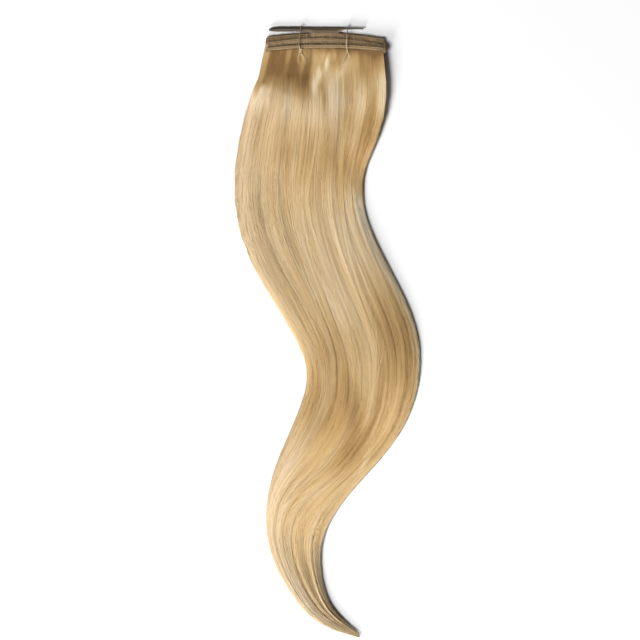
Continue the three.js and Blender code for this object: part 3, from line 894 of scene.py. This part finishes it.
def end_steps(steps):
    """Adds a very short step at both ends of rising shares, so that flat caps don't shade a whole step."""
    close = 0.0005
    return np.concatenate([[0, close], steps[1:-1], [1 - close, 1]])[None, :]


class Tress:
    """Hair that is gathered into one mesh: slabs and strands with their tone, ash and maps."""

    def __init__(self):
        self.points, self.quads, self.caps = [], [], []
        self.tone, self.ash, self.lay, self.sheet = [], [], [], {"quads": [], "caps": []}
        self.count = 0

    def add(self, points, quads, caps, tone, ash, lay, sheet):
        """Adds points with their faces, numbers, places along the hair and flat map."""
        self.points.append(points.reshape(-1, 3))
        self.quads.append(quads + self.count)
        self.sheet["quads"].append(sheet[0])
        if caps is not None:
            self.caps.append(caps + self.count)
            self.sheet["caps"].append(sheet[1])
        self.tone.append(np.ravel(tone))
        self.ash.append(np.ravel(ash))
        self.lay.append(lay.reshape(-1, 2))
        self.count += points.size // 3

    def add_body(self, fall, rows, columns, left, right, shade_dim):
        """The fall's solid heart: a slab just under its strands, a little narrower, lower and shorter than
        the fall, with thin ends."""
        wide, high, under, shorter, least = 0.985, 0.92, 0.3, 0.012, 0.05
        lane = np.linspace(-1, 1, columns)[None, :] * wide
        start, end = fall.start(lane), fall.end(lane)
        t = np.linspace(0, 1, rows)[:, None]
        down = t - 0.075 * np.sin(2 * np.pi * t)
        share = start + (end - shorter - start) * down
        thin = 1 - 0.9 * smooth(down, 0.9, 1)
        aside = drift(lane, share)
        above = total(SWELL, lane, share) * thin - under
        top = fall.place(lane, share, aside, high * thin, above)
        bottom = fall.place(lane, share, aside, 0.0)
        bottom[..., 2] = np.maximum(bottom[..., 2], FLOOR_CLEAR)
        top[..., 2] = np.maximum(top[..., 2], bottom[..., 2] + least)
        quads = slab_faces(rows, columns)
        lay = np.stack(np.broadcast_arrays(lane, share), -1)
        points = np.concatenate([top.reshape(-1, 3), bottom.reshape(-1, 3)])
        # The heart is darker than the strands over it: painted shade in the gaps between strands.
        numbers = (HAIR_TONE - shade_dim + shading(lane, share, lane + aside), ashen(lane, share, lane + aside))
        both = [np.concatenate([np.ravel(a)] * 2) for a in numbers]
        lays = np.concatenate([lay.reshape(-1, 2)] * 2)
        self.add(points, quads, None, *both, lays, (slab_sheet(rows, columns, left, right), None))

    def add_tubes(self, paths, radius, tone, ash, lay, left, right):
        """Three-sided strands along paths, with numbers and places for each station."""
        count, stations = radius.shape
        sides = STRAND_SIDES
        paths[..., 2] = np.maximum(paths[..., 2], radius + FLOOR_CLEAR)
        quads, caps = tube_faces(count, stations, sides)
        per_point = [np.repeat(np.broadcast_to(a, radius.shape)[..., None], sides, -1) for a in (tone, ash)]
        lays = np.repeat(lay[:, :, None, :], sides, 2)
        sheet = tube_sheet(count, stations, sides, left, right)
        self.add(tubes(paths, radius, sides), quads, caps, *per_point, lays, sheet)

    def add_strands(self, fall, lane, seed, width, stations, left, right, shade_dim, lift=0.0, wild=1.0, over=0.0):
        """Strands in the lanes given: they drift and swell together, each wanders a little on its own,
        and towards the ends they gather into wisps. They start up to some millimetres over the band."""
        draw = np.random.default_rng(seed)
        count = len(lane)
        lane = lane[:, None]
        inside = np.clip(lane, -1, 1)
        own = draw.normal(0, 1, (5, count, 1))
        behind = 0.0016
        root = fall.start(inside) - behind
        start = root - over / BUNDLE.length * draw.uniform(0.3, 1, (count, 1))
        late = draw.uniform(0, 1, (count, 1)) < LATE_STRANDS
        end = fall.end(inside) + draw.uniform(-0.05, 0.02, (count, 1))
        end = np.where(late, np.maximum(end, draw.uniform(0.93, LAST_SHARE, (count, 1))), end)
        t = np.linspace(0, 1, stations - 2)
        ends_closer, roots_closer = 0.06, 0.32
        steps = t - ends_closer * np.sin(2 * np.pi * t) - roots_closer * t * (1 - t) ** 4
        down = end_steps(steps)
        share = np.clip(start + (np.minimum(end, LAST_SHARE) - start) * down, 0, 1)
        waves, wander, gather = 2.3, 0.005, 0.55
        wave = np.sin(2 * np.pi * (waves * share + own[1]))
        aside = drift(lane, share) + wander * wild * own[0] * wave * loose(share)
        wisp = (np.floor((lane + 1) * WISPS / 2) + 0.5) / WISPS * 2 - 1
        aside = aside + gather * smooth(share, 0.72, 1.0) * (wisp - lane)
        above = total(SWELL, lane, share) + 0.1 * own[2] + lift
        fade = stepped(down, RISE_FADE)
        paths = fall.place(inside, share, aside + lane - inside, fade, above * fade)
        arch, arch_long = 0.24, 0.008
        paths[..., 2] += arch * over * (1 - smooth(share, root, root + arch_long))
        taper = stepped(down, TIP_TAPER) * stepped(down, ROOT_TAPER)
        radius = width / 2 * taper * draw.uniform(0.75, 1.2, (count, 1))
        # Strands of the lower falls and the stray hairs are darker: painted shade under the front fall.
        tone = HAIR_TONE - shade_dim + shading(lane, share, lane + aside) + STRAND_TONE * own[3]
        ash = np.clip(ashen(lane, share, lane + aside) + 0.1 * own[4], 0, 1)
        lay = np.stack(np.broadcast_arrays(lane + aside, share), -1)
        self.add_tubes(paths, radius, tone, ash, lay, left, right)

    def add_locks(self, fall, rows, seed, width, rooted, left, right, strands=16, stations=22):
        """Locks that lie on the hair: each is widest and highest at its middle on a sine, and sinks in at
        both ends. Rooted locks follow the hair under them, others cross it from place to place."""
        draw = np.random.default_rng(seed)
        rows = np.repeat(np.array(rows, float), strands, 0)
        first, start, last, end, wide, lighter, rise = (column[:, None] for column in rows.T)
        count = len(rows)
        own = draw.normal(0, 1, (4, count, 1))
        t = end_steps(np.linspace(0, 1, stations - 2))
        long = end - start
        stagger, stretch, sink = 0.12, 0.1, 0.35
        ends_wide, ends_thick = 0.35, 0.45
        share = start + stagger * long * own[0] + long * (1 + stretch * own[1]) * t
        share = np.clip(share, *LOCK_SHARES)
        bell = np.sin(np.pi * t)
        fan = wide * np.clip(own[2], -2, 2) * (ends_wide + (1 - ends_wide) * bell)
        across = np.clip(first + (last - first) * smooth(t, 0, 1) + fan, -1, 1)
        lane = across if rooted else lane_at(across, share)
        across = lane + drift(lane, share)
        above = total(SWELL, lane, share) + rise * bell - sink * (1 - bell) + 0.08 * own[3]
        paths = fall.place(lane, share, across - lane, 1.0, above)
        radius = width / 2 * (ends_thick + (1 - ends_thick) * np.sqrt(bell)) + 0 * share
        # Locks that stand out carry painted highlight and groove shade; random locks only their own tone.
        tone = HAIR_TONE + shading(lane, share, across) + lighter * np.sqrt(bell) + STRAND_TONE * own[3]
        lay = np.stack(np.broadcast_arrays(across, share), -1)
        self.add_tubes(paths, radius, tone, ashen(lane, share, across), lay, left, right)

    def piece(self, name, finish):
        """The gathered hair as one piece."""
        quads = np.concatenate(self.quads)
        lay = np.concatenate(self.lay)
        faces = [quads] + ([np.concatenate(self.caps)] if self.caps else [])
        corners = np.concatenate([group.ravel() for group in faces])
        sheet = np.concatenate(self.sheet["quads"] + self.sheet["caps"])
        maps = {"lay": lay[corners], "OFBake": sheet}
        marks = {"tone": np.concatenate(self.tone), "ash": np.concatenate(self.ash)}
        return make_piece(name, in_frame(np.concatenate(self.points)), faces, finish, maps, marks)


def even_lanes(count, seed):
    """Lanes spread evenly across, each moved a little at random."""
    draw = np.random.default_rng(seed)
    return (np.arange(count) + draw.uniform(0, 1, count)) / count * 2 - 1


def random_locks(count, seed):
    """Rows of small locks anywhere on the hair, laid out like the table of locks that stand out."""
    draw = np.random.default_rng(seed)
    first = draw.uniform(-0.95, 0.95, count)
    start = draw.uniform(0.06, 0.78, count)
    last = np.clip(first + draw.normal(0, 0.05, count), -0.97, 0.97)
    end = np.minimum(start + draw.uniform(0.07, 0.2, count), 0.98)
    wide = draw.uniform(0.006, 0.022, count)
    lighter = draw.normal(0.03, 0.06, count)
    rise = draw.uniform(0.1, 0.45, count)
    return np.stack([first, start, last, end, wide, lighter, rise], -1)


def course_y(course, x):
    """Height along Y of a course at x: the parabola through its three given heights."""
    left, middle, right = course
    t = x / (BAND_WIDTH / 2)
    return middle + (right - left) / 2 * t + ((left + right) / 2 - middle) * t * t


def band_path(sizes, run_steps, fold_steps):
    """Stations of the folded band as x, y, z and heading: a run along each course, then a half turn up."""
    turn = COURSE_PITCH / 2
    reach = sizes.band_width / 2 - turn - sizes.band_thick / 2
    stations = []
    for i, course in enumerate(COURSES):
        way = 1 if i % 2 else -1
        z = BAND_LIFT + i * COURSE_PITCH + sizes.band_thick / 2
        x = way * np.linspace(-reach, reach, run_steps)
        heading = np.full(run_steps, 0.0 if way > 0 else np.pi)
        stations.append(np.stack([x, course_y(course, x), np.full(run_steps, z), heading], -1))
        if i + 1 < len(COURSES):
            share = np.linspace(0, 1, fold_steps + 1)[1:-1]
            angle = np.pi * share
            ends = [course_y(c, way * reach) for c in (course, COURSES[i + 1])]
            y = ends[0] + (ends[1] - ends[0]) * smooth(share, 0, 1)
            fold = [way * (reach + turn * np.sin(angle)), y, z + turn * (1 - np.cos(angle))]
            stations.append(np.stack([*fold, angle if way > 0 else np.pi - angle], -1))
    return np.concatenate(stations)


def band_relief(along, height, tall, seed):
    """Depth of the band's face: seams pull it in, and sewn hairs raise fine ribs along Y."""
    draw = np.random.default_rng(seed)
    phases = draw.uniform(0, 2 * np.pi, len(RIB_WAVES))
    ribs = sum(np.sin(along * wave + phase) for wave, phase in zip(RIB_WAVES, phases)) / len(RIB_WAVES)
    middle = height / tall * BAND_HEIGHT
    seams = sum(np.exp(-(((middle - at) / SEAM_HALF) ** 2)) for at in SEAM_HEIGHTS)
    return RIB_DEEP * ribs - SEAM_DEEP * seams


def strip_points(stations, tall, thick, seed, flat=0.0, around=12):
    """A sewn strip: at each station a pillow-edged section, high along Y and thick across the heading,
    thinner and lower towards its upper edge unless flat is 1 there. Returns its points and how high each
    stands on the strip, from 0 to 1."""
    x, y, z, heading = (column[:, None] for column in stations.T)
    tall = np.broadcast_to(np.asarray(tall, float).reshape(-1, 1), x.shape)
    angle = np.linspace(-np.pi / 2, np.pi / 2, around)[None, :]
    high = tall / 2 * np.sin(angle)
    along = np.concatenate([[0], np.cumsum(np.linalg.norm(np.diff(stations[:, :3], axis=0), axis=1))])
    pillow, frayed, fray = 9, 5, 0.05
    face = np.sqrt(np.clip(1 - np.abs(np.sin(angle)) ** pillow, 0, 1))
    rough = np.random.default_rng(seed).normal(0, fray, (len(x), 1))
    upper = smooth(np.sin(angle), 0, 1) * (1 - np.asarray(flat, float).reshape(-1, 1))
    sag = BAND_SAG * upper * np.abs(np.cos(heading))
    rings, heights = [], []
    for way, order in ((1, slice(None)), (-1, slice(-2, 0, -1))):
        relief = band_relief(along[:, None], high, tall, seed + way)
        t = way * (thick / 2 - BAND_THIN * upper + relief) * face
        edge = rough * np.abs(np.sin(angle)) ** frayed
        ring = [x - t * np.sin(heading), y + high + edge, z + t * np.cos(heading) - sag]
        rings.append(np.stack(np.broadcast_arrays(*ring), -1)[:, order])
        heights.append(np.broadcast_to(0.5 + high / tall, ring[1].shape)[:, order])
    return np.concatenate(rings, 1), np.concatenate(heights, 1)


def ring_faces(stations, sides):
    """Faces of one closed strip of rings, with a many-sided cap at each end."""
    quads, caps = tube_faces(1, stations, sides)
    return [quads[:, ::-1], caps[:, ::-1]]


def stitch_row(course, below, reach, z, sizes, seed):
    """Paths of a row of stitches, so far below a course's middle: each a low arch along X, with a small
    random slant."""
    draw = np.random.default_rng(seed)
    first = np.arange(-reach, reach - sizes.stitch, sizes.stitch)[:, None] + draw.normal(0, 0.08, (1, 1))
    t = np.linspace(0, 1, 7)[None, :]
    x = first + t * sizes.stitch * STITCH_FILL
    y = course_y(course, x) - below
    y = y + draw.normal(0, 0.06, first.shape) + draw.normal(0.1, 0.08, first.shape) * (t - 0.5)
    arch = z + STITCH_ARCH * np.sin(np.pi * t) ** 0.7
    return np.stack(np.broadcast_arrays(x, y, arch), -1)


def band_fibres(sizes, count, seed):
    """Paths of short hairs on the courses: each starts on a course's face, runs up over its upper edge
    and droops towards the course behind."""
    draw = np.random.default_rng(seed)
    reach = sizes.band_width / 2 - 1
    paths = []
    for i, course in enumerate(COURSES):
        x, slant, start, long, droop = (
            draw.uniform(low, high, (count, 1))
            for low, high in ((-reach, reach), (-0.6, 0.6), (0.2, 2.2), (1.6, 3.2), (0.7, 1.5))
        )
        t = np.linspace(0, 1, 7)[None, :]
        top = BAND_LIFT + i * COURSE_PITCH + sizes.band_thick + 0.08
        up = start + long * (1 if i else 0.4) * t
        y = course_y(course, x) + up
        over = smooth(up, 0, sizes.band_height / 2 + 1.2)
        paths.append(np.stack(np.broadcast_arrays(x + slant * t, y, top - droop * over), -1))
    return np.concatenate(paths)


def joined(stacks):
    """Several stacks of tubes, each as tubes, stations and sides, as one set of points and faces."""
    points, quads, caps, count = [], [], [], 0
    for rings in stacks:
        faces = tube_faces(*rings.shape[:3])
        points.append(rings.reshape(-1, 3))
        quads.append(faces[0] + count)
        caps.append(faces[1] + count)
        count += len(points[-1])
    return np.concatenate(points), [np.concatenate(quads), np.concatenate(caps)]


def rounded_path(corners, bend, steps=6):
    """A path whose corners are short quadratic curves that begin a bend's length from each corner."""
    path = [corners[:1]]
    t = np.linspace(0, 1, steps)[:, None]
    for before, corner, after in zip(corners[:-2], corners[1:-1], corners[2:]):
        ends = []
        for other in (before, after):
            way = other - corner
            span = np.linalg.norm(way)
            ends.append(corner + way / span * min(bend, span / 2))
        path.append((1 - t) ** 2 * ends[0] + 2 * t * (1 - t) * corner + t**2 * ends[1])
    return np.concatenate([*path, corners[-1:]])


def even_steps(path, step):
    """A path's points at even distances along it."""
    gone = np.concatenate([[0], np.cumsum(np.linalg.norm(np.diff(path, axis=0), axis=1))])
    at = np.linspace(0, gone[-1], max(4, int(gone[-1] / step) + 1))
    return np.stack([np.interp(at, gone, column) for column in path.T], -1)


def twisted_thread(path, diameter, upright, sides=10, lay=2.6, step=0.22):
    """A two-ply thread: a tube whose section is a soft figure of eight that turns as it goes."""
    path = even_steps(path, step)
    turn = 2 * np.pi * np.arange(len(path)) * step / lay
    angle = 2 * np.pi * np.arange(sides) / sides
    ring = tubes(path[None], np.ones((1, len(path))), sides, upright)[0] - path[:, None]
    plies = 0.86 + 0.14 * np.cos(2 * (angle[None, :] - turn[:, None]))
    return path[:, None] + ring * (diameter / 2 * plies)[..., None]


class WEFT_OT_band(bpy.types.Operator):
    """Builds the folded band, its short hairs and its rows of stitches"""

    bl_idname = "weft.band"
    bl_label = "Folded band"

    def execute(self, context):
        sizes, colours = context.scene.weft_sizes, context.scene.weft_colours
        stations = band_path(sizes, BAND_STEPS, FOLD_STEPS)
        lowest = stations[:, 2] < BAND_LIFT + COURSE_PITCH
        lapped = np.exp(-((stations[:, 0] / LAP_HALF) ** 6)) * lowest
        points, height = strip_points(stations, sizes.band_height, sizes.band_thick, seed=11, flat=lapped)
        finish = band_finish("band_hair", colours)
        faces = ring_faces(*points.shape[:2])
        # The band's folded ends are painted grey as shade.
        grey = np.broadcast_to(stepped(stations[:, :1], SHADED_ENDS), height.shape)
        # Where the rear course laps the lowest course, less of that course's painted edge shade shows.
        marks = {"height": height * (1 - 0.35 * lapped[:, None]), "grey": grey}
        points = in_frame(points.reshape(-1, 3))
        band = make_piece("band_courses", points, faces, finish, marks=marks)
        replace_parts(band, "weft_band")
        reach = sizes.band_width / 2 - COURSE_PITCH / 2 - sizes.band_thick / 2
        stitches = []
        for i, course in enumerate(COURSES):
            top = BAND_LIFT + i * COURSE_PITCH + sizes.band_thick - STITCH_DEEP
            for row, below in enumerate((sizes.seam_below, -UPPER_SEAM)):
                paths = stitch_row(course, below, reach, top, sizes, seed=20 + 2 * i + row)
                radius = np.full(paths.shape[:2], sizes.stitch_thread / 2 * (1 - UPPER_THINNER * row))
                stitches.append(tubes(paths, radius, STITCH_SIDES))
        points, faces = joined(stitches)
        paths = band_fibres(sizes, context.scene.weft_counts.fibres, seed=27)
        radius = np.full(paths.shape[:2], sizes.fibre / 2)
        fibres, fibre_faces = joined([tubes(paths, radius, STRAND_SIDES)])
        tones = np.random.default_rng(28).uniform(0.2, 0.72, len(paths))
        marks = {"height": np.repeat(tones, len(fibres) // len(paths)), "grey": np.zeros(len(fibres))}
        make_piece("band_fibres", in_frame(fibres), fibre_faces, finish, marks=marks)
        thread = thread_finish("sewing_thread", colours.stitches, colours.seam)
        make_piece("band_stitches", in_frame(points), faces, thread)
        return {"FINISHED"}


class WEFT_OT_rear_course(bpy.types.Operator):
    """Builds the bare course behind the band"""

    bl_idname = "weft.rear_course"
    bl_label = "Rear course"

    def execute(self, context):
        sizes, colours = context.scene.weft_sizes, context.scene.weft_colours
        x, y, tall = np.array(REAR_COURSE, float).T
        at = np.linspace(x[0], x[-1], REAR_STEPS)
        z = np.full(at.shape, BAND_LIFT + sizes.band_thick / 2)
        stations = np.stack([at, np.interp(at, x, y), z, np.zeros(at.shape)], -1)
        lap = stepped(at, REAR_LAP)
        stations[:, 1] -= lap / 2
        points, height = strip_points(stations, np.interp(at, x, tall) + lap, sizes.band_thick, seed=31)
        finish = band_finish("rear_hair", colours)
        faces = ring_faces(*points.shape[:2])
        # The rear course is painted grey as shade, less where it joins the band.
        grey = 1 + stepped(at, REAR_SHADE)
        height = height + stepped(at, REAR_JOIN)[:, None] * (1 - height)
        marks = {"height": height, "grey": np.broadcast_to(grey[:, None], height.shape)}
        points = in_frame(points.reshape(-1, 3))
        rear = make_piece("rear_return", points, faces, finish, marks=marks)
        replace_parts(rear, "rear_course")
        return {"FINISHED"}


class WEFT_OT_hair(bpy.types.Operator):
    """Builds the three falls of hair, the surface strands, the locks on them and the stray hairs"""

    bl_idname = "weft.hair"
    bl_label = "Falls of hair"

    def execute(self, context):
        scene = context.scene
        sizes, counts = scene.weft_sizes, scene.weft_counts
        finish = hair_finish("blond_hair", scene.weft_colours)
        back, middle, top = FALLS
        # Each fall's heart and the lower falls' strands are darker as painted shade.
        for fall, name, node, seed, count, grid, heart_shade_dim, shade_dim in (
            (back, "back_hair", "hair_fall_back", 41, counts.under, (90, 61), 0.06, 0.04),
            (middle, "middle_hair", "hair_fall_middle", 42, counts.under, (90, 61), 0.06, 0.04),
            (top, "front_hair", "hair_fall_front", 43, counts.front, (110, 101), 0.03, 0.0),
        ):
            tress = Tress()
            tress.add_body(fall, *grid, 0.0, HEART_MAP, heart_shade_dim)
            lanes = even_lanes(count, seed)
            tress.add_strands(fall, lanes, seed, sizes.strand, counts.stations, HEART_MAP, 1.0, shade_dim)
            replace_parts(tress.piece(name, finish), node)
        for layer, (seed, thin, lift) in enumerate(SURFACE_LAYERS, 1):
            tress = Tress()
            lanes = even_lanes(counts.surface, seed)
            width = sizes.strand * thin
            tress.add_strands(top, lanes, seed, width, counts.stations, 0.0, 1.0, 0.0, lift, over=OVER_BAND)
            tress.piece(f"surface_hair_{layer}", finish)
        tress = Tress()
        width = sizes.strand * LOCK_STRAND
        tress.add_locks(top, ACCENTS, 49, width, False, 0.0, ACCENT_MAP)
        tress.add_locks(top, random_locks(counts.locks, 48), 50, width, True, ACCENT_MAP, 1.0)
        tress.piece("lock_hair", finish)
        tress = Tress()
        draw = np.random.default_rng(46)
        lanes = np.sign(draw.uniform(-1, 1, counts.loose)) * draw.uniform(*STRAY_LANES, counts.loose)
        width = sizes.strand * STRAY_STRAND
        tress.add_strands(back, lanes, 47, width, counts.stations, 0.0, 1.0, shade_dim=0.05, lift=0.6, wild=3.0)
        tress.piece("stray_hairs", finish)
        return {"FINISHED"}


class WEFT_OT_ties(bpy.types.Operator):
    """Builds the two thread ties: a loop round the band, a knot and two tails"""

    bl_idname = "weft.ties"
    bl_label = "Thread ties"

    def execute(self, context):
        sizes, colours = context.scene.weft_sizes, context.scene.weft_colours
        finish = thread_finish("tie_thread", colours.thread, colours.band_edge_shade)
        for name, x, lean, bare_to, knot, tails in TIES:
            points, faces = tie_thread(sizes, x, lean, knot, tails)
            # The thread takes the band's colour where it sinks among the band's hairs, and darkens towards
            # the ends of its tails as painted shadow.
            steps = ((bare_to, bare_to + 2, 0.9), (-3, -9, 0.45))
            marks = {"sunk": stepped(points[:, 1], steps)}
            tie = make_piece(f"{name}_thread", in_frame(points), faces, finish, marks=marks)
            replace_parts(tie, name)
        return {"FINISHED"}


def tie_thread(sizes, x, lean, knot_size, tails):
    """One tie's threads: a loop round the band, a knot that is a flattened trefoil, and two tails."""
    radius = sizes.tie_thread / 2
    clear = GAP + radius
    front = course_y(COURSES[-1], x)
    rear_x, rear_y, rear_tall = np.array(REAR_COURSE, float).T
    rear = np.interp(x, rear_x, rear_y + rear_tall / 2)
    low, high = front - sizes.band_height / 2 - clear, rear + clear
    over = BAND_LIFT + 2 * COURSE_PITCH + sizes.band_thick + clear
    over_rear = BAND_LIFT + sizes.band_thick + clear
    corners = [
        (x, low - LOOP_PAST, over),
        (x + lean, front + sizes.band_height / 2, over),
        (x, rear, over_rear),
        (x, high, over_rear - LOOP_DROP),
        (x, high, radius),
        (x, low, radius),
        (x, low, over + KNOT_RISE),
    ]
    knot = np.array([x, low - KNOT_BELOW, over + KNOT_RISE])
    t = np.linspace(0, 2 * np.pi, 60)
    trefoil = np.stack([np.sin(t) + 2 * np.sin(2 * t), np.cos(t) - 2 * np.cos(2 * t), -np.sin(3 * t)], -1)
    paths = [(rounded_path(np.array(corners), LOOP_BEND), sizes.tie_thread, (1, 0, 0))]
    thin = KNOT_THREAD * sizes.tie_thread
    paths.append((knot + trefoil * (*knot_size, KNOT_DEEP), thin, (0, 0, 1)))
    for tail in tails:
        flat = np.array([(0, 0), *tail], float)
        rise = np.linspace(0, TAIL_RISE, len(flat))[:, None]
        paths.append((rounded_path(knot + np.hstack([flat, rise]), TAIL_BEND), thin, (0, 0, 1)))
    return joined([twisted_thread(*path)[None] for path in paths])


class WEFT_OT_stage(bpy.types.Operator):
    """Builds the pale surface, the lamps and the camera straight above"""

    bl_idname = "weft.stage"
    bl_label = "Stage"

    def execute(self, context):
        scene = context.scene
        line = np.linspace(-FLOOR_HALF, FLOOR_HALF, FLOOR_POINTS)
        u, v = np.meshgrid(line, line)
        points = np.stack([u, v, np.full(u.shape, CAD_BOX[0][2])], -1).reshape(-1, 3)
        grid = np.arange(u.size).reshape(u.shape)
        quads = np.stack([grid[:-1, :-1], grid[:-1, 1:], grid[1:, 1:], grid[1:, :-1]], -1).reshape(-1, 4)
        mesh = bpy.data.meshes.new("floor")
        mesh.from_pydata(points.tolist(), [], quads.tolist())
        mesh.materials.append(floor_finish("pale_floor", scene.weft_colours.floor))
        floor = bpy.data.objects.new("floor", mesh)
        scene.collection.objects.link(floor)
        for lamp in LAMPS:
            self.add_lamp(scene, *lamp)
        world = bpy.data.worlds.new("soft_room")
        world.use_nodes = True
        room = world.node_tree.nodes["Background"]
        room.inputs["Color"].default_value = (1.0, 1.0, 1.0, 1.0)
        room.inputs["Strength"].default_value = ROOM_LIGHT
        scene.world = world
        scene.view_settings.view_transform = "Standard"
        self.add_camera(scene)
        return {"FINISHED"}

    def add_lamp(self, scene, name, place, size, power):
        """A square area light that faces the weft."""
        light = bpy.data.lights.new(name, "AREA")
        light.size = size
        light.energy = power
        lamp = bpy.data.objects.new(name, light)
        lamp.location = place
        lamp.rotation_euler = (-lamp.location).to_track_quat("-Z", "Y").to_euler()
        scene.collection.objects.link(lamp)

    def add_camera(self, scene):
        """A long lens straight above the middle of the picture, with +Y up the picture."""
        camera = bpy.data.cameras.new("camera")
        camera.sensor_width = SENSOR_MM
        camera.lens = SENSOR_MM * CAMERA_AWAY / (PICTURE_PIXELS * PIXEL_MM * MM)
        middle = PICTURE_PIXELS / 2
        x = (middle - ZERO_PIXEL[0]) * PIXEL_MM
        y = (ZERO_PIXEL[1] - middle) * PIXEL_MM
        eye = bpy.data.objects.new("camera", camera)
        eye.location = in_frame((x, y, SCALE_HEIGHT)) + np.array([0, 0, CAMERA_AWAY])
        scene.collection.objects.link(eye)
        scene.camera = eye


class WEFT_PT_panel(bpy.types.Panel):
    """Shows the build buttons and the weft's sizes, colours and counts in the sidebar"""

    bl_label = "Hair weft"
    bl_idname = "WEFT_PT_panel"
    bl_space_type = "VIEW_3D"
    bl_region_type = "UI"
    bl_category = "Weft"

    def draw(self, context):
        for operator in OPERATORS:
            self.layout.operator(operator.bl_idname)
        for group in (context.scene.weft_sizes, context.scene.weft_colours, context.scene.weft_counts):
            for key in group.bl_rna.properties.keys():
                if key not in ("rna_type", "name"):
                    self.layout.prop(group, key)


OPERATORS = (WEFT_OT_stage, WEFT_OT_band, WEFT_OT_rear_course, WEFT_OT_hair, WEFT_OT_ties)
CLASSES = (WeftSizes, WeftColours, WeftCounts, *OPERATORS, WEFT_PT_panel)


def register():
    for cls in CLASSES:
        bpy.utils.register_class(cls)
    bpy.types.Scene.weft_sizes = PointerProperty(type=WeftSizes)
    bpy.types.Scene.weft_colours = PointerProperty(type=WeftColours)
    bpy.types.Scene.weft_counts = PointerProperty(type=WeftCounts)


def unregister():
    del bpy.types.Scene.weft_sizes
    del bpy.types.Scene.weft_colours
    del bpy.types.Scene.weft_counts
    for cls in reversed(CLASSES):
        bpy.utils.unregister_class(cls)


def main():
    """Builds every piece."""
    register()
    bpy.ops.weft.stage()
    bpy.ops.weft.band()
    bpy.ops.weft.rear_course()
    bpy.ops.weft.hair()
    bpy.ops.weft.ties()


if __name__ == "__main__":
    main()
